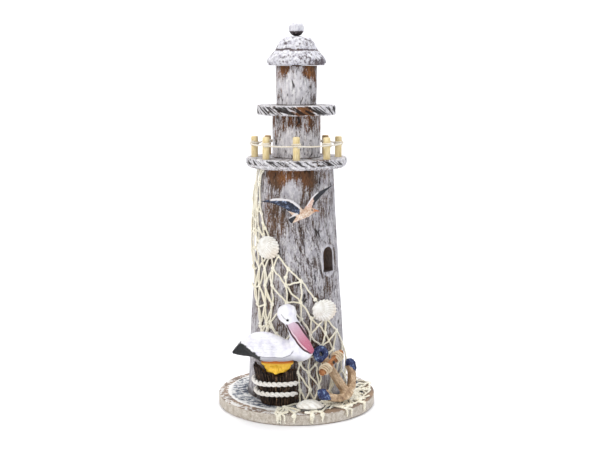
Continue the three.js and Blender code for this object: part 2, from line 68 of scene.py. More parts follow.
def fbm(x, y, z, octaves=3, seed=0):
    total, amp, norm = 0, 1.0, 0
    for k in range(octaves):
        s = 2.0 ** k
        total = total + amp * perlin(x * s, y * s, z * s, seed + k * 3)
        norm += amp
        amp *= 0.5
    return total / norm


def step(a, b, x):
    t = np.clip((x - a) / (b - a), 0, 1)
    return t * t * (3 - 2 * t)


def bell(x, c, w):
    return np.exp(-((x - c) / w) ** 2)


def line(n, w):
    """1 where the noise crosses zero, falling to 0 at |n| = w."""
    return 1 - np.clip(np.abs(n) / w, 0, 1)


# ---------------------------------------------------------------- meshes
class Bag:
    """Collects vertices and faces of several closed surfaces into one mesh."""

    def __init__(self):
        self.V, self.Q, self.T, self.A, self.n = [], [], [], {}, 0

    def add(self, V, quads=None, tris=None, **attrs):
        V = np.asarray(V, float).reshape(-1, 3)
        if quads is not None and len(quads):
            self.Q.append(np.asarray(quads, np.int64) + self.n)
        if tris is not None and len(tris):
            self.T.append(np.asarray(tris, np.int64) + self.n)
        for k in set(attrs) | set(self.A):
            have = self.A.setdefault(k, [np.zeros(self.n)] if self.n else [])
            value = attrs.get(k, 0.0)
            have.append(np.full(len(V), float(value)) if np.isscalar(value) else np.asarray(value, float))
        self.V.append(V)
        self.n += len(V)

    def arrays(self):
        V = np.concatenate(self.V)
        Q = np.concatenate(self.Q) if self.Q else np.zeros((0, 4), np.int64)
        T = np.concatenate(self.T) if self.T else np.zeros((0, 3), np.int64)
        return V, Q, T, {k: np.concatenate(a) for k, a in self.A.items()}


def build_mesh(name, V, Q=None, T=None, attrs=None, smooth=True):
    """A Blender mesh from millimetres."""
    V = np.asarray(V, float) * MM
    Q = np.zeros((0, 4), np.int64) if Q is None else np.asarray(Q, np.int64).reshape(-1, 4)
    T = np.zeros((0, 3), np.int64) if T is None else np.asarray(T, np.int64).reshape(-1, 3)
    me = bpy.data.meshes.new(name)
    me.vertices.add(len(V))
    me.vertices.foreach_set("co", V.astype(np.float32).ravel())
    loops = np.concatenate([Q.ravel(), T.ravel()]).astype(np.int32)
    me.loops.add(len(loops))
    me.loops.foreach_set("vertex_index", loops)
    starts = np.concatenate([np.arange(len(Q)) * 4, len(Q) * 4 + np.arange(len(T)) * 3]).astype(np.int32)
    me.polygons.add(len(starts))
    me.polygons.foreach_set("loop_start", starts)
    me.update(calc_edges=True)
    me.polygons.foreach_set("use_smooth", np.full(len(starts), smooth))
    for k, a in (attrs or {}).items():
        at = me.attributes.new(k, "FLOAT", "POINT")
        at.data.foreach_set("value", np.asarray(a, np.float32))
    me.update()
    return me


def piece(name, me, material, stands_for=(), body="root"):
    obj = bpy.data.objects.new(name, me)
    bpy.context.scene.collection.objects.link(obj)
    me.materials.clear()
    me.materials.append(material)
    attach(obj, body)
    if stands_for:
        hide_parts(*stands_for)
    return obj


def lathe(profile, nt, ds=0.6):
    """Surface of revolution. profile: (r, z, fine) points; a fine point's segment is divided every ds mm."""
    ring = profile[0][0] > 1e-6 and profile[-1][0] > 1e-6
    pts = []
    for k, (r, z, fine) in enumerate(profile):
        if k and fine:
            r0, z0, _ = profile[k - 1]
            n = max(1, int(round(math.hypot(r - r0, z - z0) / ds)))
            for j in range(1, n + 1):
                pts.append((r0 + (r - r0) * j / n, z0 + (z - z0) * j / n))
        else:
            pts.append((r, z))
    P = np.array(pts)
    d = np.diff(P, axis=0)
    seg = np.stack([d[:, 1], -d[:, 0]], 1)
    seg /= np.linalg.norm(seg, axis=1, keepdims=True) + 1e-12
    N = np.zeros_like(P)
    N[:-1] += seg
    N[1:] += seg
    if ring:
        e = P[0] - P[-1]
        e = np.array([e[1], -e[0]]) / np.linalg.norm(e)
        N[0] += e
        N[-1] += e
    N /= np.linalg.norm(N, axis=1, keepdims=True) + 1e-12
    th = np.arange(nt) / nt * 2 * math.pi
    V, nr, nz, start, count = [], [], [], [], []
    k = 0
    for (r, z), (a, b) in zip(P, N):
        start.append(k)
        if r < 1e-6:
            V.append([[0, 0, z]])
            nr.append([0]); nz.append([b])
            count.append(1)
            k += 1
        else:
            V.append(np.stack([r * np.sin(th), -r * np.cos(th), np.full(nt, z)], 1))
            nr.append(np.full(nt, a)); nz.append(np.full(nt, b))
            count.append(nt)
            k += nt
    V = np.concatenate(V)
    nr, nz = np.concatenate(nr), np.concatenate(nz)
    j = np.arange(nt)
    j1 = (j + 1) % nt
    Q, T = [], []
    for i in range(len(P) if ring else len(P) - 1):
        a, b = start[i], start[(i + 1) % len(P)]
        if ring:
            Q.append(np.stack([a + j, a + j1, b + j1, b + j], 1))
        elif count[i] == nt and count[i + 1] == nt:
            Q.append(np.stack([a + j, a + j1, b + j1, b + j], 1))
        elif count[i] == 1 and count[i + 1] == nt:
            T.append(np.stack([np.full(nt, a), b + j1, b + j], 1))
        elif count[i] == nt and count[i + 1] == 1:
            T.append(np.stack([a + j, a + j1, np.full(nt, b)], 1))
    R = np.hypot(V[:, 0], V[:, 1])
    az = np.degrees(np.arctan2(V[:, 0], -V[:, 1]))
    dirs = np.stack([np.where(R > 1e-6, V[:, 0] / np.maximum(R, 1e-6), 0) * nr,
                     np.where(R > 1e-6, V[:, 1] / np.maximum(R, 1e-6), 0) * nr, nz], 1)
    return V, dirs, R, az, (np.concatenate(Q) if Q else None), (np.concatenate(T) if T else None)


def smooth_path(points, spacing, closed=False):
    """Catmull-Rom through the points, resampled at about the spacing."""
    P = np.asarray(points, float)
    n = len(P)
    if n == 2:
        k = max(1, int(round(np.linalg.norm(P[1] - P[0]) / spacing)))
        t = np.linspace(0, 1, k + 1)[:, None]
        return P[0] * (1 - t) + P[1] * t
    out = []
    last = n if closed else n - 1
    for i in range(last):
        if closed:
            p0, p1, p2, p3 = P[(i - 1) % n], P[i], P[(i + 1) % n], P[(i + 2) % n]
        else:
            p1, p2 = P[i], P[i + 1]
            p0 = P[i - 1] if i else 2 * p1 - p2
            p3 = P[i + 2] if i + 2 < n else 2 * p2 - p1
        k = max(1, int(round(np.linalg.norm(p2 - p1) / spacing)))
        t = (np.arange(k) / k)[:, None]
        out.append(0.5 * (2 * p1 + (p2 - p0) * t + (2 * p0 - 5 * p1 + 4 * p2 - p3) * t ** 2
                          + (3 * p1 - p0 - 3 * p2 + p3) * t ** 3))
    if not closed:
        out.append(P[-1:])
    return np.concatenate(out)


def frames_along(P, closed=False, up=None):
    n = len(P)
    if closed:
        t = np.roll(P, -1, 0) - np.roll(P, 1, 0)
    else:
        t = np.gradient(P, axis=0)
    t /= np.linalg.norm(t, axis=1, keepdims=True) + 1e-12
    a = np.array([0, 0, 1.0]) if up is None else np.asarray(up, float)
    if abs(np.dot(a, t[0])) > 0.9:
        a = np.array([1.0, 0, 0])
    u = np.cross(t[0], a)
    u /= np.linalg.norm(u)
    U = [u]
    for i in range(1, n):
        v = U[-1] - np.dot(U[-1], t[i]) * t[i]
        U.append(v / (np.linalg.norm(v) + 1e-12))
    U = np.array(U)
    if closed:  # spread the closing twist
        v = U[-1] - np.dot(U[-1], t[0]) * t[0]
        v /= np.linalg.norm(v)
        w = np.cross(t[0], U[0])
        ang = math.atan2(np.dot(v, w), np.dot(v, U[0]))
        rot = -ang * np.arange(n) / n
        W = np.cross(t, U)
        U = U * np.cos(rot)[:, None] + W * np.sin(rot)[:, None]
    return t, U, np.cross(t, U)


def tube(P, radius, sides=8, lobes=0, depth=0.0, pitch=6.0, closed=False, flat=1.0, phase=0.0):
    """A closed tube along P. lobes and pitch give it the twisted section of a cord."""
    P = np.asarray(P, float)
    n = len(P)
    t, U, W = frames_along(P, closed)
    s = np.concatenate([[0], np.cumsum(np.linalg.norm(np.diff(P, axis=0), axis=1))])
    r = np.full(n, float(radius)) if np.isscalar(radius) else np.asarray(radius, float)
    phi = np.arange(sides) / sides * 2 * math.pi
    twist = s[:, None] / pitch * 2 * math.pi + phase if lobes else 0
    k = 1 - depth + depth * np.cos(lobes * (phi[None, :] - twist)) if lobes else np.ones((n, sides))
    R = r[:, None] * k
    V = (P[:, None, :] + U[:, None, :] * (R * np.cos(phi))[:, :, None] + W[:, None, :] * (R * np.sin(phi) * flat)[:, :, None])
    V = V.reshape(-1, 3)
    j = np.arange(sides)
    j1 = (j + 1) % sides
    rings = n if closed else n - 1
    i = np.arange(rings)[:, None]
    i1 = (i + 1) % n
    Q = np.stack([i * sides + j, i * sides + j1, i1 * sides + j1, i1 * sides + j], 2).reshape(-1, 4)
    T = None
    if not closed:
        V = np.concatenate([V, P[:1] - t[:1] * r[0] * 0.45, P[-1:] + t[-1:] * r[-1] * 0.45])
        a, b = n * sides, n * sides + 1
        T = np.concatenate([np.stack([np.full(sides, a), j1, j], 1),
                            np.stack([np.full(sides, b), (n - 1) * sides + j, (n - 1) * sides + j1], 1)])
    cav = np.clip((1 - k) / max(2 * depth, 1e-6), 0, 1).ravel() if lobes else np.zeros(n * sides)
    if not closed:
        cav = np.concatenate([cav, [0, 0]])
    return V, Q, T, cav


def loft(rings, cap=True):
    """Closed skin through rings of the same number of points (k, n, 3)."""
    R = np.asarray(rings, float)
    k, n, _ = R.shape
    V = R.reshape(-1, 3)
    j = np.arange(n)
    j1 = (j + 1) % n
    i = np.arange(k - 1)[:, None]
    Q = np.stack([i * n + j, i * n + j1, (i + 1) * n + j1, (i + 1) * n + j], 2).reshape(-1, 4)
    T = None
    if cap:
        V = np.concatenate([V, R[0].mean(0)[None], R[-1].mean(0)[None]])
        a, b = k * n, k * n + 1
        T = np.concatenate([np.stack([np.full(n, a), j1, j], 1), np.stack([np.full(n, b), (k - 1) * n + j, (k - 1) * n + j1], 1)])
    V, Q, T = outward(V, Q, T)
    return V, Q, T


def outward(V, Q, T):
    vol = 0.0
    if Q is not None and len(Q):
        for a, b, c in ((0, 1, 2), (0, 2, 3)):
            vol += np.einsum("ij,ij->i", V[Q[:, a]], np.cross(V[Q[:, b]], V[Q[:, c]])).sum()
    if T is not None and len(T):
        vol += np.einsum("ij,ij->i", V[T[:, 0]], np.cross(V[T[:, 1]], V[T[:, 2]])).sum()
    if vol < 0:
        Q = None if Q is None else Q[:, ::-1]
        T = None if T is None else T[:, ::-1]
    return V, Q, T


def evaluated(obj):
    dg = bpy.context.evaluated_depsgraph_get()
    me = bpy.data.meshes.new_from_object(obj.evaluated_get(dg))
    bpy.data.objects.remove(obj)
    return me


def remeshed(name, bag, voxel, smooth=4, factor=0.5):
    """The union of the bag's closed surfaces as one smooth skin: (V in mm, mesh)."""
    V, Q, T, _ = bag.arrays()
    obj = bpy.data.objects.new(name + "_tmp", build_mesh(name + "_tmp", V, Q, T))
    bpy.context.scene.collection.objects.link(obj)
    m = obj.modifiers.new("r", "REMESH")
    m.mode = "VOXEL"
    m.voxel_size = voxel * MM
    m.use_smooth_shade = True
    if smooth:
        s = obj.modifiers.new("s", "SMOOTH")
        s.factor = factor
        s.iterations = smooth
    me = evaluated(obj)
    co = np.zeros(len(me.vertices) * 3, np.float32)
    me.vertices.foreach_get("co", co)
    return me, co.reshape(-1, 3).astype(float) / MM


def normals_of(me):
    no = np.zeros(len(me.vertices) * 3, np.float32)
    me.vertices.foreach_get("normal", no)
    return no.reshape(-1, 3).astype(float)


def write_mesh(me, V, **attrs):
    me.vertices.foreach_set("co", (V * MM).astype(np.float32).ravel())
    for k, a in attrs.items():
        at = me.attributes.get(k) or me.attributes.new(k, "FLOAT", "POINT")
        at.data.foreach_set("value", np.asarray(a, np.float32))
    me.polygons.foreach_set("use_smooth", np.full(len(me.polygons), True))
    me.update()
    return me


# ---------------------------------------------------------------- materials
def srgb(r, g, b):
    f = lambda c: (c / 255 / 12.92) if c / 255 <= 0.04045 else ((c / 255 + 0.055) / 1.055) ** 2.4
    return (f(r), f(g), f(b), 1.0)


class Mat:
    def __init__(self, name, roughness=0.7, specular=0.35):
        self.m = bpy.data.materials.new(name)
        self.m.use_nodes = True
        self.t = self.m.node_tree
        self.t.nodes.clear()
        self.out = self.t.nodes.new("ShaderNodeOutputMaterial")
        self.b = self.t.nodes.new("ShaderNodeBsdfPrincipled")
        self.t.links.new(self.b.outputs["BSDF"], self.out.inputs["Surface"])
        self.b.inputs["Roughness"].default_value = roughness
        self.b.inputs["Specular IOR Level"].default_value = specular
        self.co = self.t.nodes.new("ShaderNodeTexCoord").outputs["Object"]

    def link(self, a, b):
        self.t.links.new(a, b)

    def attr(self, name):
        n = self.t.nodes.new("ShaderNodeAttribute")
        n.attribute_name = name
        return n.outputs["Fac"]

    def scaled(self, x, y, z):
        """Coordinates whose unit is x, y and z millimetres."""
        n = self.t.nodes.new("ShaderNodeMapping")
        n.inputs["Scale"].default_value = (1000 / x, 1000 / y, 1000 / z)
        self.link(self.co, n.inputs["Vector"])
        return n.outputs["Vector"]

    def noise(self, vec, detail=3, rough=0.5, distortion=0.0):
        n = self.t.nodes.new("ShaderNodeTexNoise")
        n.inputs["Scale"].default_value = 1.0
        n.inputs["Detail"].default_value = detail
        n.inputs["Roughness"].default_value = rough
        n.inputs["Distortion"].default_value = distortion
        self.link(vec, n.inputs["Vector"])
        return n.outputs["Fac"]

    def voronoi(self, vec, feature="F1"):
        n = self.t.nodes.new("ShaderNodeTexVoronoi")
        n.feature = feature
        n.inputs["Scale"].default_value = 1.0
        self.link(vec, n.inputs["Vector"])
        return n.outputs["Distance"]

    def ramp(self, fac, stops, interp="LINEAR"):
        n = self.t.nodes.new("ShaderNodeValToRGB")
        n.color_ramp.interpolation = interp
        e = n.color_ramp.elements
        while len(e) > 1:
            e.remove(e[-1])
        e[0].position, e[0].color = stops[0][0], stops[0][1] if not np.isscalar(stops[0][1]) else (stops[0][1],) * 3 + (1,)
        for p, c in stops[1:]:
            k = e.new(p)
            k.color = c if not np.isscalar(c) else (c, c, c, 1)
        self.link(fac, n.inputs["Fac"])
        return n.outputs["Color"]

    def math(self, op, a, b=None, clamp=False):
        n = self.t.nodes.new("ShaderNodeMath")
        n.operation = op
        n.use_clamp = clamp
        for i, v in enumerate((a, b)):
            if v is None:
                continue
            if np.isscalar(v):
                n.inputs[i].default_value = v
            else:
                self.link(v, n.inputs[i])
        return n.outputs["Value"]

    def mix(self, fac, a, b, blend="MIX"):
        n = self.t.nodes.new("ShaderNodeMix")
        n.data_type = "RGBA"
        n.blend_type = blend
        for name, v in (("Factor", fac), ("A", a), ("B", b)):
            sock = [s for s in n.inputs if s.name == name and s.type in (("VALUE",) if name == "Factor" else ("RGBA",))][0]
            if np.isscalar(v) or isinstance(v, tuple):
                sock.default_value = v
            else:
                self.link(v, sock)
        return [s for s in n.outputs if s.type == "RGBA"][0]

    def bump(self, height, strength, distance):
        n = self.t.nodes.new("ShaderNodeBump")
        n.inputs["Strength"].default_value = strength
        n.inputs["Distance"].default_value = distance * MM
        self.link(height, n.inputs["Height"])
        self.link(n.outputs["Normal"], self.b.inputs["Normal"])

    def done(self, color, rough=None):
        self.link(color, self.b.inputs["Base Color"])
        if rough is not None:
            self.link(rough, self.b.inputs["Roughness"])
        return self.m


def wash_wood(name, grain=(0.3, 0.3, 4.0), brown=None, white=None, dark=srgb(30, 24, 22), dark_share=0.92, scratch=1.0):
    """Whitewashed carved wood. Reads cav (depth of a gouge, darkened nearly black: partly the bare wood, partly painted
    shade; a piece may add more painted shade to it), wash (paint left on it) and tint (grey, brown, orange).
    """
    m = Mat(name, 0.8, 0.22)
    cav, wash, tint = m.attr("cav"), m.attr("wash"), m.attr("tint")
    fine = m.noise(m.scaled(*grain), 5, 0.65)
    streak = m.noise(m.scaled(grain[0] * 3.2, grain[1] * 3.2, grain[2] * 2.6), 4, 0.7)
    blot = m.noise(m.scaled(7, 7, 11), 3, 0.55)
    grit = m.noise(m.scaled(1.0, 1.0, 1.5), 4, 0.7)
    t = m.math("ADD", tint, m.math("MULTIPLY", m.math("SUBTRACT", blot, 0.5), 0.5), clamp=True)
    base = m.ramp(t, brown or [(0.0, srgb(92, 84, 84)), (0.3, srgb(98, 80, 68)), (0.55, srgb(110, 80, 58)),
                               (0.8, srgb(134, 88, 54)), (1.0, srgb(158, 104, 58))])
    base = m.mix(m.ramp(fine, [(0.36, 0.9), (0.6, 0.0)]), base, srgb(50, 38, 31))
    paint = m.ramp(m.noise(m.scaled(2.2, 2.2, 5), 4, 0.65), white or [(0.3, srgb(158, 155, 163)), (0.5, srgb(190, 187, 192)), (0.72, srgb(226, 224, 223))])
    noise = m.math("ADD", m.math("MULTIPLY", fine, 0.2), m.math("ADD", m.math("MULTIPLY", grit, 0.36), m.math("MULTIPLY", streak, 0.44)))
    edge = m.math("ADD", wash, m.math("MULTIPLY", m.math("SUBTRACT", noise, 0.5), 2.7 * scratch))
    col = m.mix(m.ramp(edge, [(0.34, 0.0), (0.5, 0.72), (0.72, 1.0)]), base, paint)
    # cav darkens nearly black: bare wood in the gouges, deepened with painted shade
    col = m.mix(m.math("MULTIPLY", m.ramp(cav, [(0.25, 0.0), (0.8, 1.0)]), dark_share), col, dark)
    m.bump(m.math("ADD", fine, m.math("MULTIPLY", grit, 0.6)), 0.7, 0.22)
    return m.done(col, m.ramp(edge, [(0.3, 0.74), (0.7, 0.88)]))


def twine_material(name, light, mid, shade):
    m = Mat(name, 0.85, 0.2)
    cav = m.attr("cav")
    n = m.noise(m.scaled(0.45, 0.45, 0.45), 3, 0.6)
    big = m.noise(m.scaled(9, 9, 9), 2, 0.5)
    col = m.mix(m.ramp(big, [(0.35, 0.0), (0.7, 1.0)]), light, mid)
    col = m.mix(m.ramp(n, [(0.35, 0.35), (0.6, 0.0)]), col, shade)
    col = m.mix(m.math("MULTIPLY", m.ramp(cav, [(0.35, 0.0), (1.0, 1.0)]), 0.65), col, shade)
    m.b.inputs["Sheen Weight"].default_value = 0.25
    m.b.inputs["Sheen Roughness"].default_value = 0.6
    m.bump(n, 0.6, 0.12)
    return m.done(col)


# ---------------------------------------------------------------- carved wood
def polar(r, az):
    return r * np.sin(az), -r * np.cos(az)


PI = math.pi
TOWER = [(0, 10.7, 0), (43.4, 10.7, 0), (43.0, 13.5, 1), (42.0, 18, 1), (41.5, 45, 1), (40.5, 64, 1), (39.5, 82, 1),
         (38.0, 100, 1), (35.8, 135, 1), (33.6, 170, 1), (33.0, 186, 1), (31.6, 207.7, 1), (29, 207.7, 0), (5.3, 207.7, 0), (5.3, 188, 0), (0, 188, 0)]


def tower_radius(z):
    zs = [p[1] for p in TOWER[1:12]]
    rs = [p[0] for p in TOWER[1:12]]
    return np.interp(z, zs, rs)


def strokes(x, y, z, wide, long, width, seed):
    n = perlin(x / wide, y / wide, z / long, seed)
    m = perlin(x / (wide * 1.7), y / (wide * 1.7), z / (long * 0.8), seed + 5)
    return line(n, width) * step(-0.25, 0.25, m)


def carve(name, profile, nt, ds, cad, field, material, cut=None):
    V, D, R, az, Q, T = lathe(profile, nt, ds)
    depth, attrs = field(V, D, R, az)
    V = V + D * depth[:, None]
    me = build_mesh(name, V, Q, T, attrs)
    obj = piece(name, me, material, [cad])
    if cut:
        cut(obj)
    return obj


def tower_field(V, D, R, az):
    x, y, z = V.T
    a = az * RAD
    side = (np.abs(D[:, 2]) < 0.5) & (R > 28) & (z > 10.9)
    # leaning strokes in the front middle, upright ones elsewhere
    lean = bell(az, 14, 34) * bell(z, 140, 52)
    a2 = a + lean * 0.011 * (z - 140)
    xs, ys = polar(36, a2)
    warp = 2.2 * fbm(x / 13, y / 13, z / 13, 2, 2)
    curly = bell(az, -38, 26) * bell(z, 164, 26) + 0.8 * bell(az, -8, 14) * bell(z, 193, 9)
    curly = np.clip(curly + 0.35 * fbm(x / 16, y / 16, z / 24, 2, 8), 0, 1)
    g1 = strokes(xs + warp, ys, z, 2.1, 20, 0.2, 1)
    g2 = strokes(xs, ys + warp, z + 4 * warp, 1.5, 11, 0.24, 7)
    cx, cy, cz = x + 3.2 * fbm(x / 6, y / 6, z / 6, 2, 21), y + 3.2 * fbm(x / 6, y / 6, z / 6, 2, 22), z + 4 * fbm(x / 6, y / 6, z / 7, 2, 23)
    g3 = line(perlin(cx / 2.9, cy / 2.9, cz / 4.6, 30), 0.2)
    g = np.maximum(g1, 0.75 * g2) * (1 - 0.8 * curly)
    g = np.maximum(g, g3 * curly)
    facet = fbm(xs / 5, ys / 5, z / 32, 2, 40)
    depth = -0.5 * g ** 1.2 + 0.22 * facet - 0.12
    # whitewash
    wash = 0.50 + 0.26 * fbm(xs / 2.2, ys / 2.2, z / 16, 3, 50) + 0.22 * fbm(x / 11, y / 11, z / 26, 2, 60) + 0.14 * bell(z, 60, 50) * bell(az, 55, 40)
    wash += 0.10 * step(-50, -80, az) + 0.10 * step(45, 80, az)
    wash -= 0.55 * bell(az, -12, 52) * step(188, 203, z) * (0.6 + 0.5 * fbm(x / 5, y / 5, z / 9, 2, 63))
    wash -= 0.45 * bell(az, 19, 9) * bell(z, 203, 8)
    wash += 0.45 * bell(az, -8, 11) * bell(z, 192, 8)
    wash -= 0.26 * bell(az, -42, 22) * bell(z, 164, 26)
    wash += 0.16 * curly * (1 - g3)
    wash -= 0.12 * bell(z, 60, 45) * bell(az, 20, 60)
    d = np.hypot((az - 49) * RAD * 36, np.maximum(np.abs(z - 130.4) - 5.2, 0))
    wash += 0.6 * bell(d, 7.0, 1.1) - 0.08 * bell(d, 9.8, 1.5)
    wash -= 0.3 * bell(az, 64, 4) * bell(z, 131.4, 9)
    tint = 0.38 + 0.3 * fbm(x / 9, y / 9, z / 30, 2, 70)
    tint += 0.5 * bell(az, -12, 50) * step(186, 203, z) + 0.20 * bell(az, -45, 22) * bell(z, 162, 28)
    tint -= 0.30 * bell(az, 20, 30) * bell(z, 140, 45) + 0.15 * step(40, 75, az)
    cav = np.clip(g * (0.55 + 0.6 * step(-0.4, 0.5, fbm(x / 8, y / 8, z / 14, 2, 80))), 0, 1)
    cav = np.maximum(cav, 0.9 * bell(az, 19, 5) * step(198, 204, z) * (0.6 + 0.6 * fbm(x / 2, y / 2, z / 6, 2, 81)))
    # a dark band round the foot: painted shade where the tower meets the base
    cav = np.maximum(cav, 0.7 * step(20, 12, z))
    s = side.astype(float)
    return depth * s, {"cav": cav * s, "wash": np.where(side, wash, 0.1), "tint": np.clip(tint, 0, 1)}


def slash_field(seed, pitch=2.3, rings=True):
    """Diagonal gouges round an edge, speckled paint on the top."""
    def field(V, D, R, az):
        x, y, z = V.T
        rmax = R.max()
        a = az * RAD + (z - z.mean()) * 1.7 / rmax
        xs, ys = polar(rmax, a)
        edge = step(0.45, 0.8, 1 - np.abs(D[:, 2]))
        g = step(0.25, 0.75, line(perlin(xs / pitch, ys / pitch, z / 20 + 0.3, seed), 0.66)) * step(-0.75, -0.3, perlin(xs / 6, ys / 6, z / 5, seed + 1))
        flatg = line(perlin(x / 3.2, y / 3.2, z, seed + 3), 0.16) * 0.8
        g = g * edge + flatg * (1 - edge)
        out = (R > 8) & (np.abs(D).sum(1) > 0.1)
        s = out.astype(float)
        depth = -0.8 * g ** 1.1 * edge - 0.16 * flatg * (1 - edge) + 0.12 * fbm(x / 6, y / 6, z / 4, 2, seed + 9)
        wash = 0.54 + 0.42 * fbm(xs / 2.4, ys / 2.4, z / 2.6, 3, seed + 5) + 0.2 * fbm(x / 12, y / 12, z / 9, 2, seed + 6) + 0.12 * edge * (1 - g) + 0.15 * bell(edge, 0.5, 0.3)
        tint = 0.4 + 0.45 * fbm(x / 10, y / 10, z / 10, 2, seed + 7)
        return depth * s, {"cav": g * s, "wash": wash * s + (1 - s) * 0.1, "tint": np.clip(tint, 0, 1)}
    return field


def lantern_deck_field(V, D, R, az):
    depth, at = slash_field(131, 3.0)(V, D, R, az)
    x, y, z = V.T
    at["tint"] = np.clip(at["tint"] + 0.34 * bell(az, 8, 26) - 0.35 * step(40, 70, az), 0, 1)
    at["wash"] = at["wash"] - 0.55 * bell(az, 10, 18) * (np.abs(D[:, 2]) < 0.6)
    return depth, at


def room_field(seed, patch):
    def field(V, D, R, az):
        x, y, z = V.T
        side = ((np.abs(D[:, 2]) < 0.5) & (R > 10)).astype(float)
        a = az * RAD
        warp = 1.3 * fbm(x / 6, y / 6, z / 8, 2, seed + 4)
        g = strokes(x + warp, y, z, 2.6, 15, 0.2, seed)
        g2 = line(perlin((x + warp) / 2.4, (y + warp) / 2.4, (z + 2 * warp) / 5, seed + 2), 0.13) * 0.7
        g = np.maximum(g, g2 * step(-0.1, 0.4, fbm(x / 7, y / 7, z / 7, 2, seed + 3)))
        wash = 0.46 + 0.4 * fbm(x / 2.2, y / 2.2, z / 10, 3, seed + 5) + 0.25 * fbm(x / 8, y / 8, z / 10, 2, seed + 6)
        tint = 0.52 + 0.4 * fbm(x / 6, y / 6, z / 14, 2, seed + 7)
        wash, tint = patch(wash, tint, az, z)
        return (-0.42 * g ** 1.3 + 0.14 * fbm(x / 4, y / 4, z / 12, 2, seed + 8)) * side, {
            "cav": np.clip(g, 0, 1) * side, "wash": np.where(side > 0, wash, 0.1), "tint": np.clip(tint, 0, 1)}
    return field


def lantern_patch(wash, tint, az, z):
    wash = wash + 0.14 + 0.5 * bell(az, -4, 34) * bell(z, 273, 11) - 0.5 * bell(az, -40, 22) * step(280, 289, z) - 0.45 * bell(az, 40, 24) * step(278, 288, z)
    wash = wash - 0.15 * bell(az, 60, 25)
    tint = tint + 0.4 * bell(az, -40, 25) * step(278, 288, z) + 0.4 * bell(az, 38, 22) * step(276, 288, z) - 0.3 * bell(az, 60, 20) * step(282, 262, z)
    return wash, tint


def watch_patch(wash, tint, az, z):
    wash = wash + 0.12 - 0.22 * step(232, 246, z) + 0.22 * step(238, 222, z) + 0.25 * bell(az, -10, 20) * bell(z, 228, 8)
    tint = tint + 0.2 * step(230, 246, z)
    return wash, tint


def dome_field(V, D, R, az):
    x, y, z = V.T
    out = ((z > 293.72) & (np.abs(D).sum(1) > 0.1)).astype(float)
    warp = 1.5 * fbm(x / 5, y / 5, z / 5, 2, 160)
    g = line(perlin((x + warp) / 3.1, (y + warp) / 3.1, z / 3.6, 161), 0.15) * step(-0.1, 0.4, fbm(x / 6, y / 6, z / 6, 2, 162))
    ring = bell(z, 306.6 + 0.6 * perlin(x / 6, y / 6, z * 0, 163), 0.75)
    wash = 0.58 + 0.4 * fbm(x / 2.4, y / 2.4, z / 3, 3, 164) + 0.22 * fbm(x / 9, y / 9, z / 8, 2, 165) - 0.55 * ring
    wash -= 0.3 * bell(az, 55, 26) * step(301, 297, z)
    tint = 0.18 + 0.3 * fbm(x / 7, y / 7, z / 7, 2, 166) + 0.15 * ring
    depth = -0.3 * g ** 1.2 - 0.35 * ring + 0.16 * fbm(x / 4, y / 4, z / 4, 2, 167)
    cav = np.clip(g * 0.75 + 0.35 * ring * step(-0.2, 0.4, perlin(x / 2, y / 2, z, 168)), 0, 1)
    return depth * out, {"cav": cav * out, "wash": np.where(out > 0, wash, 0.1), "tint": np.clip(tint, 0, 1)}


def ball_field(V, D, R, az):
    x, y, z = V.T
    # the ball's underside is painted darker as painted shade: whitewash taken off and patches near-black
    wash = 0.86 + 0.35 * fbm(x / 2.6, y / 2.6, z / 2.6, 3, 171) - 1.1 * step(323.6, 320.0, z)
    cav = 0.9 * step(323.0, 320.0, z) * step(-0.6, 0.2, perlin(x / 2, y / 2, z / 2, 172))
    return 0.1 * fbm(x / 3, y / 3, z / 3, 2, 173), {"cav": cav, "wash": wash, "tint": np.full(len(x), 0.3)}


def base_field(V, D, R, az):
    x, y, z = V.T
    up = step(0.5, 0.9, D[:, 2])
    sidem = ((np.abs(D[:, 2]) < 0.5) & (R > 65)).astype(float)
    sea = ((z > 10.2) & (R < 59.01)).astype(float)
    n = fbm(x / 5, y / 5, z / 5, 3, 181)
    big = fbm(x / 15, y / 15, z / 15, 2, 182)
    ringline = bell(R, 59.3, 0.9 + 0.5 * perlin(x / 5, y / 5, z * 0, 183))
    rr = R + 3.0 * fbm(x / 10, y / 10, z * 0, 2, 184)
    wave = bell(az, -32, 22) * step(44, 50, R) * step(61, 56, R) * line(perlin(x * 0 + rr / 2.4, az / 26, z * 0, 185), 0.3)
    wash = np.where(sea > 0, 0.50 + 0.5 * fbm(x / 3.2, y / 2.2, z, 3, 187) + 0.2 * big, 0.36 + 0.5 * fbm(x / 3, y / 3, z, 3, 188) + 0.22 * big)
    wash = wash + 0.75 * ringline * (z > 9.6) + 0.15 * step(62, 67, R) * up
    # painted shade under the heap of net: the top on the right gets less whitewash, so it is darker
    wash = wash - 0.6 * step(2, 30, az) * step(125, 100, az) * up * step(9.0, 9.6, z)
    crack = line(perlin(x / 4, y / 4, z / 3, 186), 0.07) * step(0, 0.4, big + 0.15)
    depth = np.where(np.abs(D).sum(1) > 0.1, 0.10 * n * (z > 0.5) - 0.18 * crack * up * sea, 0)
    return depth, {"cav": np.clip(crack * sea * 0.6, 0, 1), "wash": wash, "tint": np.clip(0.5 + 0.5 * big, 0, 1),
                   "sea": sea * up, "side": sidem, "navy": wave * sea}


def solid_object(name, V, Q, T):
    obj = bpy.data.objects.new(name, build_mesh(name, V, Q, T))
    bpy.context.scene.collection.objects.link(obj)
    return obj


def subtract(obj, V, Q, T):
    """Cuts a closed solid out of the object, for good."""
    cutter = solid_object(obj.name + "_cut", V, Q, T)
    m = obj.modifiers.new("cut", "BOOLEAN")
    m.operation = "DIFFERENCE"
    m.solver = "EXACT"
    m.object = cutter
    dg = bpy.context.evaluated_depsgraph_get()
    me = bpy.data.meshes.new_from_object(obj.evaluated_get(dg))
    old = obj.data
    obj.modifiers.clear()
    obj.data = me
    me.name = obj.name
    bpy.data.meshes.remove(old)
    bpy.data.objects.remove(cutter)


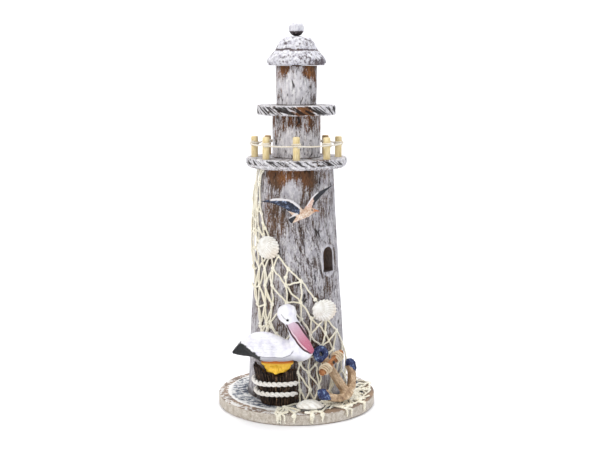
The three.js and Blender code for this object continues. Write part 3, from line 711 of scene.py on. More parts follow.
def prism(outline, axis_origin, u, v, w, d0, d1):
    """A closed prism of a 2-D outline."""
    outline = np.asarray(outline, float)
    n = len(outline)
    o, u, v, w = (np.asarray(k, float) for k in (axis_origin, u, v, w))
    a = o + outline[:, :1] * u + outline[:, 1:] * v + w * d0
    b = a + w * (d1 - d0)
    V = np.concatenate([a, b, a.mean(0)[None], b.mean(0)[None]])
    j = np.arange(n)
    j1 = (j + 1) % n
    Q = np.stack([j, j1, j1 + n, j + n], 1)
    T = np.concatenate([np.stack([np.full(n, 2 * n), j1, j], 1), np.stack([np.full(n, 2 * n + 1), j + n, j1 + n], 1)])
    return outward(V, Q, T)


def lathe_solid(points, cx, nt=40):
    V, D, R, az, Q, T = lathe([(r, z, 0) for r, z in points], nt)
    V = V + np.array([cx, 0, 0])
    return outward(V, Q, T)


def cut_tower(obj):
    a = 49 * RAD
    out = np.array([math.sin(a), -math.cos(a), 0])
    right = np.array([math.cos(a), math.sin(a), 0])
    w, h = 6.0, 21.0
    arch = [(-w, -h / 2), (w, -h / 2)] + [(w * math.cos(t), h / 2 - w + w * math.sin(t)) for t in np.linspace(0, PI, 19)]
    subtract(obj, *prism(arch, [0, 0, 131.4], right, [0, 0, 1], out, tower_radius(131.4) - 11, tower_radius(131.4) + 6))
    for sx in (-18, 18):
        subtract(obj, *lathe_solid([(0, -3), (2.4, -3), (2.4, 36.3), (0, 36.3)], sx))


def cut_base(obj):
    for sx in (-18, 18):
        subtract(obj, *lathe_solid([(0, -1), (4.5, -1), (4.5, 1.2), (2.4, 3.6), (2.4, 14), (0, 14)], sx))


def cut_sockets(obj):
    bag = Bag()
    for i in range(8):
        V, Q, T = lathe_solid([(0, 213.3), (3.3, 213.3), (3.3, 220), (0, 220)], 0, 32)
        bag.add(V + np.array([35.8 * math.sin(i * 45 * RAD), -35.8 * math.cos(i * 45 * RAD), 0]), Q, T)
    V, Q, T, _ = bag.arrays()
    subtract(obj, V, Q, T)


MAT_TOWER = wash_wood("tower_whitewash")
MAT_DECK = wash_wood("deck_whitewash", grain=(1.0, 1.0, 0.7), white=[(0.3, srgb(180, 178, 184)), (0.5, srgb(214, 212, 216)), (0.72, srgb(240, 239, 238))], scratch=0.8)
MAT_ROOM = wash_wood("room_whitewash", grain=(0.3, 0.3, 3.0), white=[(0.3, srgb(174, 171, 177)), (0.5, srgb(206, 203, 207)), (0.72, srgb(236, 234, 233))])
MAT_ROOF = wash_wood("roof_whitewash", grain=(0.9, 0.9, 0.9),
                     brown=[(0.0, srgb(112, 106, 116)), (0.35, srgb(118, 108, 112)), (0.7, srgb(116, 94, 80)), (1.0, srgb(120, 86, 60))],
                     white=[(0.3, srgb(178, 176, 188)), (0.5, srgb(214, 213, 219)), (0.72, srgb(242, 242, 244))], scratch=0.62)


def base_material():
    m = Mat("sea_base", 0.75, 0.3)
    wash, tint, sea, side, navy, cav = (m.attr(k) for k in ("wash", "tint", "sea", "side", "navy", "cav"))
    n = m.noise(m.scaled(0.8, 0.8, 0.8), 4, 0.65)
    n2 = m.noise(m.scaled(3.2, 3.2, 3.2), 3, 0.6)
    rim = m.ramp(tint, [(0.2, srgb(112, 100, 92)), (0.5, srgb(134, 114, 98)), (0.85, srgb(156, 130, 106))])
    water = m.ramp(m.math("ADD", m.math("MULTIPLY", n2, 0.6), m.math("MULTIPLY", tint, 0.4)),
                   [(0.3, srgb(54, 58, 70)), (0.5, srgb(82, 89, 104)), (0.72, srgb(116, 124, 138))])
    col = m.mix(sea, rim, water)
    edge = m.math("ADD", wash, m.math("MULTIPLY", m.math("SUBTRACT", n, 0.5), 0.9))
    col = m.mix(m.ramp(edge, [(0.4, 0.0), (0.56, 0.75), (0.8, 1.0)]), col, srgb(228, 227, 225))
    col = m.mix(m.ramp(navy, [(0.35, 0.0), (0.7, 0.92)]), col, srgb(40, 50, 86))
    flank = m.mix(m.ramp(n2, [(0.35, 0.0), (0.65, 1.0)]), srgb(178, 167, 152), srgb(212, 205, 195))
    flank = m.mix(m.ramp(n, [(0.3, 0.5), (0.5, 0.0)]), flank, srgb(126, 112, 94))
    col = m.mix(side, col, flank)
    col = m.mix(m.math("MULTIPLY", cav, 0.8), col, srgb(60, 60, 66))
    m.bump(m.math("ADD", n, n2), 0.45, 0.25)
    return m.done(col)


base = carve("base_plate", [(0, 0, 0), (67.6, 0, 0), (68.5, 0.9, 1), (68.5, 8.7, 1), (67.7, 9.6, 1), (66.8, 9.8, 1), (59.5, 9.8, 1),
                            (59, 10.4, 1), (40, 10.4, 1), (0, 10.4, 0)], 440, 0.75, "base_plate", base_field, base_material(), cut_base)
tower = carve("tower_body", TOWER, 440, 0.62, "tower_body", tower_field, MAT_TOWER, cut_tower)

# r, z, fine: closed loops round the axis, for the pieces with a hole through them
carve("gallery_deck", [(5.3, 208.0, 0), (39.8, 208.0, 0), (42.2, 209.4, 1), (43.1, 211.4, 1), (43.1, 215.6, 1), (42.4, 216.3, 1), (5.3, 216.3, 1)],
      360, 0.6, "gallery_deck", slash_field(101), MAT_DECK, cut_sockets)
carve("lantern_deck", [(5.3, 252.2, 0), (32.8, 252.2, 0), (33.6, 253.2, 1), (33.6, 259.7, 1), (32.8, 260.6, 1), (5.3, 260.6, 1)],
      320, 0.55, "lantern_deck", lantern_deck_field, MAT_DECK)
carve("watch_room", [(0, 231.3, 0), (5.3, 231.3, 0), (5.3, 216.6, 0), (20.5, 216.6, 0), (20.5, 251.9, 1), (5.3, 251.9, 0), (5.3, 238, 0), (0, 238, 0)],
      240, 0.55, "watch_room", room_field(201, watch_patch), MAT_ROOM)
carve("lantern_room", [(0, 273.3, 0), (5.3, 273.3, 0), (5.3, 260.9, 0), (16.9, 260.9, 0), (17.6, 293.4, 1), (4.3, 293.4, 0), (4.3, 281, 0), (0, 281, 0)],
      220, 0.5, "lantern_room", room_field(221, lantern_patch), MAT_ROOM)
carve("dome_roof", [(0, 304.3, 0), (4.3, 304.3, 0), (4.3, 293.7, 0), (23.4, 293.7, 0), (25.2, 296.3, 1), (24.6, 298.8, 1), (22.9, 301.4, 1), (20.8, 303.7, 1),
                    (18.1, 306.8, 1), (16.8, 309.6, 1), (14.6, 313.3, 1), (12.8, 315.4, 1), (10.7, 317.0, 1), (6.0, 317.85, 1), (1.9, 317.85, 0), (1.9, 309, 0), (0, 309, 0)],
      260, 0.5, "dome_roof", dome_field, MAT_ROOF)
carve("finial_ball", [(0, 323.1, 0), (1.9, 323.1, 0), (1.9, 324.3 - 6.2, 0)] + [(6.5 * math.cos(t), 324.3 + 6.5 * math.sin(t), 1) for t in np.linspace(-70 * RAD, PI / 2, 12)[1:-1]] + [(0, 330.8, 1)],
      96, 0.5, "finial_ball", ball_field, MAT_ROOF)


# ---------------------------------------------------------------- gallery rail
POST_TOPS = [235.6, 234.6, 234.0, 233.4, 233.8, 233.2, 234.2, 234.8]


def post_material():
    m = Mat("post_cream", 0.6, 0.35)
    tan = m.attr("tan")
    n = m.noise(m.scaled(0.6, 0.6, 4), 3, 0.6)
    big = m.noise(m.scaled(3, 3, 6), 2, 0.5)
    col = m.mix(tan, m.ramp(big, [(0.3, srgb(226, 204, 148)), (0.7, srgb(240, 224, 180))]), m.ramp(big, [(0.3, srgb(150, 118, 84)), (0.7, srgb(186, 152, 112))]))
    col = m.mix(m.ramp(n, [(0.3, 0.4), (0.5, 0.0)]), col, srgb(150, 112, 66))
    m.bump(n, 0.4, 0.12)
    return m.done(col)


MAT_POST = post_material()
for i in range(8):
    prof = [(0, 213.6, 0), (3.0, 213.6, 0), (3.0, POST_TOPS[i] - 0.9, 1), (2.7, POST_TOPS[i] - 0.35, 1), (2.1, POST_TOPS[i], 1), (0, POST_TOPS[i], 0)]
    V, D, R, az, Q, T = lathe(prof, 40, 0.5)
    up = (V[:, 2] > 216.4) * 1.0
    V = V + D * (up * (0.12 * fbm(V[:, 0] / 1.5, V[:, 1] / 1.5, V[:, 2] / 6, 2, 300 + i) - 0.08))[:, None]
    a = i * 45 * RAD
    V[:, 0] += 35.8 * math.sin(a)
    V[:, 1] -= 35.8 * math.cos(a)
    piece(f"rail_post_{i + 1}", build_mesh(f"rail_post_{i + 1}", V, Q, T, {"tan": np.full(len(V), (0.0, 0.0, 0.1, 0.8, 0.9, 0.8, 0.1, 0.0)[i])}),
          MAT_POST, [f"rail_post_{i + 1}"])

MAT_TWINE = twine_material("net_cotton", srgb(252, 250, 238), srgb(245, 240, 220), srgb(204, 188, 152))
MAT_RAIL = twine_material("rail_cotton", srgb(250, 247, 236), srgb(240, 232, 214), srgb(186, 166, 136))

rope = Bag()
loop = []
for i in range(8):
    for k in range(16):
        t = k / 16
        a0, a1 = i * 45 * RAD, (i + 1) * 45 * RAD
        r = 35.8 + 4.05
        p0 = np.array([*polar(r, a0), 228.2 + 0.5 * perlin(np.array([i * 1.7]), 0, 0, 311)[0]])
        p1 = np.array([*polar(r, a1), 228.2 + 0.5 * perlin(np.array([((i + 1) % 8) * 1.7]), 0, 0, 311)[0]])
        p = p0 * (1 - t) + p1 * t
        p[2] -= 4 * t * (1 - t) * 0.9
        loop.append(p)
loop = np.array(loop)
V, Q, T, cav = tube(smooth_path(loop, 0.5, True), 0.72, 9, 3, 0.13, 3.6, closed=True)
rope.add(V, Q, T, cav=cav)
for i in range(8):
    a = i * 45 * RAD
    cx, cy = polar(35.8, a)
    t = np.linspace(0, 1, 90)
    ang = a - PI / 2 + 0.35 + t * (2 * PI * 2.2)
    rr = 3.0 + 0.62
    P = np.stack([cx + rr * np.cos(ang), cy + rr * np.sin(ang), 226.9 + 2.9 * t + 0.12 * np.sin(ang * 1.3 + i)], 1)
    V, Q, T, cav = tube(P, 0.66, 8, 3, 0.13, 3.4)
    rope.add(V, Q, T, cav=cav)
V, Q, T, A = rope.arrays()
piece("rail_rope", build_mesh("rail_rope", V, Q, T, A), MAT_RAIL, ["rail_rope"])

# ---------------------------------------------------------------- net
K = dict(
    oT=(-88.2, 206.6, 1.2), o1=(-88.3, 202.0, 1.0), o2=(-87.6, 191.1, 2.8), o3=(-87.7, 181.2, 3.9), o4=(-87.7, 167.3, 3.8), o5=(-87.7, 152.2, 3.5),
    o6=(-87.8, 135.0, 2.5), s1=(-65.7, 201.3), s2=(-66.2, 193.9), s3=(-63.5, 179.0), s4=(-57.3, 169.7), s5=(-53.2, 162.2), s6=(-47.5, 158.1),
    s7=(-49.4, 152.2), m1=(-87.5, 180.2, 1.9), m2=(-75.0, 172.3), a0=(-24.4, 135.8), a1=(-73.4, 121.7), a2=(-56.5, 123.6), a3=(-45.0, 124.7),
    a4=(-31.5, 125.7), a5=(-10.2, 125.6), a6=(-13.5, 118.5), b1=(-64.8, 107.1), b2=(-54.5, 108.4), b3=(-43.1, 109.6), b4=(-31.8, 110.5),
    b5=(-13.3, 112.1), b6=(5.8, 115.5), sh=(23.7, 99.3), c1=(-55.1, 92.3), c2=(-41.5, 93.9), c3=(-30.7, 94.9), c4=(-11.9, 97.0), c5=(5.1, 97.3),
    d1=(-48.6, 76.5), d2=(-37.7, 78.2), d3=(-32.7, 79.5), d4=(5.8, 83.5), d5=(18.0, 83.9), e1=(-45.4, 68.1), e2=(-38.9, 68.5), e3=(-30.8, 75.3),
    e4=(-23.8, 70.4), e5=(-12.2, 65.2), e6=(16.6, 69.3), e7=(36.3, 69.6), e8=(55.4, 69.7), f1=(30.1, 57.9), f2=(47.7, 54.3), f3=(68.0, 56.9),
    f4=(88.0, 38.5, 1.6), g1=(3.9, 46.0), g2=(1.3, 38.1), g3=(13.8, 37.8), g4=(14.2, 51.2), g5=(15.6, 22.3), g6=(26.9, 23.8), g7=(22.5, 44.3),
    g8=(41.1, 19.5), g9=(3.9, 22.8), t1=(-57.1, 206.6), t0=(-63.5, 206.6), uS=(-37.5, 146.5), uT=(-36, 139.0), lS=(33.5, 92.0), lT=(36, 84.0),
    h1=(-36, 57.0), h2=(-22, 56.0), h3=(-4, 55.0), F1=(10, 13.2), F2=(20, 13.2), F3=(31, 13.2), F4=(4, 13.2), F5=(47, 13.2), F6=(98, 13.2), i1=(64, 33.0), i2=(78, 24.0),
)
TOWER_EDGES = """oT-o1 o1-o2 o2-o3 o3-o4 o4-o5 o5-o6 o6-a1 t0-s1 t1-s1 s1-s2 s2-s3 s3-s4 s4-s5 s5-s6 s5-s7 s6-uS s7-uS m1-m2 m2-s4 uT-a2 uT-a3 uT-a4 uT-a0
a0-a4 a0-a5 a5-b6 b6-sh a5-a6 a6-b5 a4-b5 a1-b1 a2-b1 a2-b2 a3-b2 a3-b3 a4-b3 a4-b4 b1-c1 b2-c1 b2-c2 b3-c2 b3-c3 b4-c3 b4-c4 b5-c4 b5-c5 b6-c5
c1-d1 c2-d1 c2-d2 c3-d2 c3-d3 c4-d3 c4-d4 c5-d4 c5-d5 sh-lS d5-e7 d5-e6 d4-e6 d4-e5 d1-e1 d2-e1 d2-e2 d3-e2 d3-e3 e3-e4 e4-e5 lT-e7 lT-e8 lT-d5
e7-f1 e7-f2 e8-f2 e8-f3 e6-f1 f3-f4 e6-g4 e1-h1 e2-h1 e2-h2 e4-h2 e5-h3 e5-h2 h3-g1 f1-g4 f1-g7 f2-g7 g4-g1 g4-g3 g1-g2 g1-g3 g7-g6 g7-g3 g3-g6 g3-g5 g2-g5 g2-g9
g6-F3 g6-F2 g5-F1 g5-F2 g9-F4 g9-F1 f2-g8 f3-i1 i1-g8 i1-i2 f4-i2 f4-F6 i2-F6 g8-F5 g8-F3""".split()

B = dict(
    k1=(24.9, -38.3), k2=(41.0, -54.4), k3=(45.7, -48.1), k4=(54.3, -33.2), k5=(64.0, -4.7), k6=(49.2, -10.7), k7=(51.9, 8.2), k8=(54.1, 23.3), k9=(65.9, 17.2),
    r1=(-10.1, -53.6), r2=(2.2, -60.1), r3=(8.3, -66.2), r4=(16.0, -62.6), r5=(19.7, -64.0), r6=(26.3, -48.1), x1=(21.7, -39.3), x2=(32.1, -32.6), x3=(40.7, -31.0),
    y1=(3.1, -45.6), y2=(-1.5, -45.8), y3=(34.0, -31.5), y4=(46.0, 6.4), y5=(12.0, -47.5),
)
BASE_EDGES = """k1-x2 x2-x3 k3-k6 k4-k5 k6-k7 k2-x2 r6-x1 r6-k3 k5-k9 k8-y4 k6-k9 x1-k1 k1-k2 k1-r6 x2-k3 x3-k3 x3-k4 k2-k3 k3-k4 k4-k6 k6-k5 k7-k5 k7-k9 k8-k9 y3-x3 k6-x3 k7-y4 k6-y4 y1-r2 y1-r4 y5-r4 y5-r6 r6-k2 y2-r1 r2-r1 r4-r3 r4-r5""".split()


def base_z(r):
    return np.where(r < 59.4, 10.4, 9.8) + 0.82


def on_tower(az, z, off):
    r = tower_radius(z) + off + 0.25
    return np.stack([r * np.sin(az * RAD), -r * np.cos(az * RAD), z], -1)


def knot_point(name):
    if name in K:
        k = K[name]
        return on_tower(np.array([k[0]]), np.array([k[1]]), np.array([k[2] if len(k) > 2 else 0.9]))[0]
    x, y = B[name]
    return np.array([x, y, float(base_z(math.hypot(x, y)))])


def wander(P, amount, seed):
    s = np.concatenate([[0], np.cumsum(np.linalg.norm(np.diff(P, axis=0), axis=1))])
    ends = np.clip(np.minimum(s, s[-1] - s) / 3.0, 0, 1)
    t, U, W = frames_along(P)
    a = perlin(s / 6, s * 0 + seed * 1.3, s * 0, 350) * amount * ends
    return a, t


net = Bag()
NET_R = 0.9


def lay_cord(P, seed, radius=None):
    radius = radius or (1.0 if 200 <= seed < 500 else NET_R)
    P = smooth_path(P, 0.55)
    V, Q, T, cav = tube(P, radius * (1 + 0.06 * math.sin(seed * 2.1)), 8, 2, 0.16, 3.0, phase=seed * 0.7)
    net.add(V, Q, T, cav=cav)


def tie_knot(p, out, seed, size=1.0):
    t = np.linspace(0, 2 * PI, 46, endpoint=False)
    x = (2 + np.cos(3 * t)) * np.cos(2 * t)
    y = (2 + np.cos(3 * t)) * np.sin(2 * t)
    z = np.sin(3 * t)
    out = np.asarray(out, float)
    out /= np.linalg.norm(out)
    u = np.cross(out, [0, 0, 1.0] if abs(out[2]) < 0.9 else [0, 1.0, 0])
    u /= np.linalg.norm(u)
    v = np.cross(out, u)
    c, s = math.cos(seed * 1.9), math.sin(seed * 1.9)
    u, v = u * c + v * s, v * c - u * s
    P = np.asarray(p) + 0.46 * size * (x[:, None] * u + y[:, None] * v * 0.85) + (0.46 * size * z)[:, None] * out + 0.25 * out
    V, Q, T, cav = tube(P, 0.58 * size, 7, closed=True)
    net.add(V, Q, T, cav=0.15)


def frayed_end(p, direction, seed, length=3.2):
    d = np.asarray(direction, float)
    d /= np.linalg.norm(d)
    for j in range(4):
        side = np.array([perlin(np.array([seed + j * 1.7]), 0.3, 0.1, 371)[0], perlin(np.array([seed + j * 2.3]), 0.7, 0.4, 372)[0],
                         perlin(np.array([seed + j * 1.1]), 0.2, 0.9, 373)[0]]) * 1.2
        P = np.array([p, p + d * length * 0.5 + side * 0.4, p + d * length + side])
        V, Q, T, cav = tube(smooth_path(P, 0.5), 0.22, 5)
        net.add(V, Q, T, cav=0.1)


for n, edge in enumerate(TOWER_EDGES):
    a, b = (K[k] for k in edge.split("-"))
    oa, ob = (k[2] if len(k) > 2 else 0.9 for k in (a, b))
    length = math.hypot((a[0] - b[0]) * RAD * 38, a[1] - b[1])
    m = max(3, int(length / 1.6))
    t = np.linspace(0, 1, m)
    side = perlin(t * length / 7, t * 0 + n * 1.3, t * 0, 350) * 0.9 * np.clip(np.minimum(t, 1 - t) * length / 3, 0, 1)
    az = a[0] + (b[0] - a[0]) * t
    z = a[1] + (b[1] - a[1]) * t
    du, dz = (b[0] - a[0]) * RAD * 38 / length, (b[1] - a[1]) / length
    az = az + side * dz / 38 / RAD
    z = np.clip(z - side * du, 12.6, 206.8)
    off = oa + (ob - oa) * t + 0.25 * (1 - np.abs(2 * t - 1)) * (n % 3 - 1)
    lay_cord(on_tower(az, z, np.maximum(off, 0.72)), n)

# the gathered left side is several cords thick
K.update(p1=(-84, 205.5, 1.1), p2=(-80, 192, 1.6), p3=(-76, 178, 1.8), p4=(-72, 163, 1.8), p5=(-66, 149, 1.6), q1=(-76, 206, 1.0), q2=(-82, 186, 2.0),
         q3=(-84, 170, 2.2), q4=(-80, 154, 2.0), q5=(-77, 138, 1.8), v1=(-70, 196, 1.2), v2=(-74, 184, 1.4), v3=(-68, 171, 1.4), v4=(-61, 157, 1.4), v5=(-56, 142, 1.2))
EXTRA = """p1-p2 p2-p3 p3-p4 p4-p5 p5-a2 q1-q2 q2-q3 q3-q4 q4-q5 q5-a1 t0-v1 v1-v2 v2-v3 v3-v4 v4-v5 v5-a3 s3-v3 o3-q3 q4-p5 p3-q3 v4-s7 o5-q4 p5-v5 s2-v1
q5-a2 uS-v4 o4-p4 p2-v2 uT-a3 d4-e6 lT-e6 lT-e7 e8-f1 f1-g6 f2-g4 e7-g7 f3-g8 d3-e4 c4-c5 b5-b6""".split()
for n, edge in enumerate(EXTRA):
    a, b = (K[k] for k in edge.split("-"))
    oa, ob = (k[2] if len(k) > 2 else 1.0 for k in (a, b))
    length = math.hypot((a[0] - b[0]) * RAD * 38, a[1] - b[1])
    m = max(3, int(length / 1.6))
    t = np.linspace(0, 1, m)
    side = perlin(t * length / 6, t * 0 + n * 1.9, t * 0, 353) * 1.3 * np.clip(np.minimum(t, 1 - t) * length / 3, 0, 1)
    du, dz = (b[0] - a[0]) * RAD * 38 / length, (b[1] - a[1]) / length
    az = a[0] + (b[0] - a[0]) * t + side * dz / 38 / RAD
    z = np.clip(a[1] + (b[1] - a[1]) * t - side * du, 12.6, 206.8)
    lay_cord(on_tower(az, z, oa + (ob - oa) * t + 0.35), n + 500)
for n, (edge, shift) in enumerate((("a1-b1", 2.2), ("a2-b2", -2.0), ("a3-b3", 2.0), ("b1-c1", -2.2), ("b2-c2", 2.2), ("b3-c3", -1.8), ("c1-d1", 2.0), ("c2-d2", -2.0), ("d1-e1", 1.8),
                                   ("o6-a1", 2.6), ("o5-o6", 2.6), ("o4-o5", 2.6), ("a4-b4", -2.0), ("d2-e2", 1.6))):
    a, b = (K[k] for k in edge.split("-"))
    oa, ob = (k[2] if len(k) > 2 else 0.9 for k in (a, b))
    t = np.linspace(0, 1, 12)
    bow = np.sin(t * PI) * shift / 38 / RAD
    lay_cord(on_tower(a[0] + (b[0] - a[0]) * t + bow, a[1] + (b[1] - a[1]) * t, oa + (ob - oa) * t + 0.5 * np.sin(t * PI)), n + 560)
for n, (az0, az1, z) in enumerate(((-88, -64, 121.8), (-80, -52, 107.0), (-58, -40, 92.0), (-50, -36, 74.5), (-87, -66, 139.0), (-87, -58, 155.0))):
    t = np.linspace(0, 1, 14)
    lay_cord(on_tower(az0 + (az1 - az0) * t, z + 0.9 * np.sin(t * 7 + n), 1.5 + 0.3 * np.sin(t * 5)), n + 590)

for n, edge in enumerate(BASE_EDGES):
    (xa, ya), (xb, yb) = (B[k] for k in edge.split("-"))
    length = math.hypot(xa - xb, ya - yb)
    for strand in ((-0.9, 0.9) if edge in ("k1-k2",) else (0.0,)):
        m = max(3, int(length / 1.6))
        t = np.linspace(0, 1, m)
        side = (perlin(t * length / 7, t * 0 + n * 2.3 + strand, t * 0, 351) * 1.0 + strand) * np.clip(np.minimum(t, 1 - t) * length / 3, 0, 1)
        dx, dy = (xb - xa) / length, (yb - ya) / length
        x = xa + (xb - xa) * t - dy * side
        y = ya + (yb - ya) * t + dx * side
        r = np.hypot(x, y)
        z = np.interp(r, [58.4, 60.2], [10.4, 9.8]) + 0.82 + 0.2 * (1 - np.abs(2 * t - 1)) * (n % 3)
        lay_cord(np.stack([x, y, z], 1), n + 200)

# the heap of net on the right of the base
rs_ = np.random.RandomState(31)
for n in range(26):
    a0, a1 = rs_.uniform(30, 92), 0
    a1 = a0 + rs_.uniform(-26, 26)
    r0, r1 = rs_.uniform(46.5, 54), rs_.uniform(56, 66.5)
    a1 = float(np.clip(a1, 26, 104))
    m = 16
    t = np.linspace(0, 1, m)
    bow = rs_.uniform(-5, 5)
    az = (a0 + (a1 - a0) * t + bow * np.sin(t * PI)) * RAD
    r = r0 + (r1 - r0) * t
    z = np.interp(r, [58.4, 60.2], [10.4, 9.8]) + 0.95 + 0.7 * np.sin(t * PI) * rs_.uniform(0.2, 1.0)
    lay_cord(np.stack([*polar(r, az), z], 1), n + 240, 0.85)
    if n % 2 == 0:
        tie_knot((*polar(r[m // 2], az[m // 2]), float(z[m // 2])), (0.01, 0, 1), n + 240, 1.0)

# from the tower's foot out on to the base
for n, (top, low) in enumerate((("F4", "y2"), ("F4", "y1"), ("F1", "y1"), ("F1", "y5"), ("F2", "y5"), ("F2", "x1"), ("F3", "x1"), ("F3", "k1"), ("F5", "x2"), ("F5", "x3"), ("F6", "y4"))):
    p, q = knot_point(top), knot_point(low)
    mid = np.array([p[0] * 0.75 + q[0] * 0.25, p[1] * 0.75 + q[1] * 0.25, 11.6])
    mid[:2] *= max(1.0, 45.0 / np.hypot(*mid[:2]))
    q2 = q.copy()
    q2[:2] *= max(1.0, 45.0 / np.hypot(*q2[:2]))
    lay_cord(np.array([p, mid, q2]), n + 300)


def over_rim(start, az, low, seed, wiggle=0.0):
    """From a point on the base over its edge and down the side."""
    a = az * RAD
    s = np.asarray(start, float)
    P = [s]
    for r, z in ((61.5, 10.75), (65.8, 10.65), (68.4, 10.3), (69.35, 9.0), (69.5, 6.8), (69.5, low)):
        aa = a + wiggle * 0.02 * math.sin(r * 1.3 + seed)
        if z < 9.5 or r > np.hypot(s[0], s[1]) + 0.8:
            P.append(np.array([*polar(r, aa), z]))
    lay_cord(np.array(P), seed)
    frayed_end(P[-1], (0, 0, -1), seed, 2.2)


for n, (k, az, low) in enumerate((("k2", 37.5, 5.4), ("k2", 40.5, 4.4), ("k4", 55.0, 4.4), ("k4", 57.0, 5.6), ("r3", 11.0, 5.0), ("r4", 12.0, 4.2))):
    over_rim(knot_point(k), az, low, 400 + n, 1.0)
for n, x in enumerate((-17.6, -15.9, -14.4, -12.8, -11.2, -9.6)):
    over_rim(np.array([x * 0.9 + 0.6, -53.5 - (n % 3) * 1.3, 11.2]), math.degrees(math.atan2(x, 66.5)), 4.0 + (n * 1.37 % 1.6), 420 + n, 1.5)
for n, (a, b, az) in enumerate((("r1", "r2", -1.5), ("r3", "r4", 11.0), ("r5", "r6", 18.2))):
    rim = [np.array([*polar(r, az * RAD), z]) for r, z in ((66.0, 10.65), (68.5, 10.3), (69.3, 8.9))]
    for k, s in ((a, -0.5), (b, 0.5)):
        p = knot_point(k)
        P = [p] + [q + np.array([s, 0, 0]) * w for q, w in zip(rim, (1.4, 0.8, 0.2)) if np.hypot(q[0], q[1]) > np.hypot(p[0], p[1]) + 0.5]
        lay_cord(np.array(P), 440 + n * 2 + (s > 0))
    tie_knot(rim[-1], rim[-1] * [1, 1, 0], n, 1.2)
    lay_cord(np.array([rim[-1], rim[-1] + [0.3, -0.1, -2.4], rim[-1] + [-0.2, 0, -4.6]]), 450 + n)
    frayed_end(rim[-1] + [-0.2, 0, -4.6], (0, 0, -1), n + 3.3, 1.6)

for n, k in enumerate(sorted(K)):
    if k in ("oT", "uS", "uT", "lS", "lT") or k[0] == "F":
        continue
    p = knot_point(k)
    tie_knot(p, p * [1, 1, 0], n)
for n, k in enumerate(sorted(B)):
    if k[0] != "y":
        tie_knot(knot_point(k), (0.01, 0, 1), n + 60, 1.05)
V, Q, T, A = net.arrays()
piece("net_drape", build_mesh("net_drape", V, Q, T, A), MAT_TWINE, ["net_drape"])


# ---------------------------------------------------------------- solids used by the modelled pieces
def ellipsoid(c, semi, tilt_y=0.0, nu=40, nv=24):
    th = np.linspace(0, PI, nv + 1)
    V, D, R, az, Q, T = lathe([(max(math.sin(t), 0), -math.cos(t), 0) for t in th], nu)
    V = V * np.asarray(semi)
    t = -tilt_y * RAD if tilt_y else 0.0
    # a turn about Y that carries +X towards -Z for a positive angle, as in the CAD
    c0, s0 = math.cos(-t), math.sin(-t)
    x, z = V[:, 0] * c0 + V[:, 2] * s0, -V[:, 0] * s0 + V[:, 2] * c0
    V = np.stack([x, V[:, 1], z], 1) + np.asarray(c)
    return outward(V, Q, T)


def taper(points, radii, sides=28, flat=1.0, spacing=0.8):
    P = smooth_path(points, spacing)
    s = np.linspace(0, 1, len(P))
    r = np.interp(s, np.linspace(0, 1, len(radii)), radii)
    V, Q, T, _ = tube(P, r, sides, flat=flat)
    return outward(V, Q, T)


def poly_dist(x, z, pts):
    """Distance in the XZ plane to a polyline, and how far along it (0..1)."""
    pts = np.asarray(pts, float)
    best, where = np.full(len(x), 1e9), np.zeros(len(x))
    n = len(pts) - 1
    for i in range(n):
        a, d = pts[i], pts[i + 1] - pts[i]
        t = np.clip(((x - a[0]) * d[0] + (z - a[1]) * d[1]) / (d @ d), 0, 1)
        dist = np.hypot(x - a[0] - t * d[0], z - a[1] - t * d[1])
        m = dist < best
        best[m], where[m] = dist[m], (i + t[m]) / n
    return best, where


def inside_poly(x, z, poly):
    poly = np.asarray(poly, float)
    hit = np.zeros(len(x), bool)
    j = len(poly) - 1
    for i in range(len(poly)):
        (xi, zi), (xj, zj) = poly[i], poly[j]
        if zi != zj:
            hit ^= ((zi > z) != (zj > z)) & (x < (xj - xi) * (z - zi) / (zj - zi) + xi)
        j = i
    return hit


# ---------------------------------------------------------------- pelican
PY = -51.6
bag = Bag()
for c, s, tilt in (((-23.5, PY, 61.8), (18.0, 10.6, 11.6), 3), ((-30, PY, 65.8), (15.5, 9.0, 9.4), -8), ((2.5, PY - 1.9, 59.8), (11.5, 9.2, 8.8), 0),
                   ((-12, PY, 59.6), (19, 10.2, 9.2), 0), ((-7.4, PY - 0.8, 91.3), (7.7, 6.8, 7.7), 0), ((-5.6, PY - 2.0, 87.4), (5.9, 5.9, 5.2), 0)):
    bag.add(*ellipsoid(c, s, tilt))
bag.add(*taper([(0.8, PY - 1.2, 62), (0.5, PY - 1.0, 72), (-2.6, PY - 0.8, 81), (-6.6, PY - 0.8, 90)], [9.2, 5.4, 4.7, 6.0], 32))
bag.add(*taper([(-2.6, PY - 3.2, 84.6), (1.2, PY - 4.6, 79), (6.6, PY - 5.9, 70.6), (11.2, PY - 6.9, 63.2), (13.0, PY - 7.3, 60.6)], [4.7, 4.9, 4.7, 3.5, 2.6], 28, flat=0.85))
# the wings' ends and the tail
tailp = [(-28, 72.2), (-36, 73.0), (-41.0, 70.8), (-46.2, 66.2), (-50.4, 61.2), (-52.6, 58.4), (-51.0, 56.8), (-44, 55.9), (-34, 55.2), (-26, 55.4)]
V, Q, T = prism([(x, z) for x, z in tailp], [0, PY, 0], [1, 0, 0], [0, 0, 1], [0, -1, 0], -5.0, 5.6)
taper_y = np.interp(V[:, 0], [-53, -44, -28], [0.42, 0.8, 1.12])
V[:, 1] = PY + (V[:, 1] - PY) * taper_y
bag.add(V, Q, T)
me, V = remeshed("pelican", bag, 0.5, 8)
N = normals_of(me)
x, y, z = V.T
front = (y < PY + 0.5)
WING_LOW = [(-52, 57.6), (-33.8, 57.2), (-22.6, 56.4), (-11.4, 56.1), (-5.0, 58.4), (-1.6, 62.6)]
wl_z = np.interp(x, [p[0] for p in WING_LOW], [p[1] for p in WING_LOW])
wing = step(-0.35, 0.35, z - wl_z) * step(-0.5, -2.2, x) * step(0.4, -0.4, N[:, 2] - 0.93)
along = (x + 46) * 0.97 - (z - 60) * 0.22
across = (z - wl_z) - 0.05 * (x + 20)
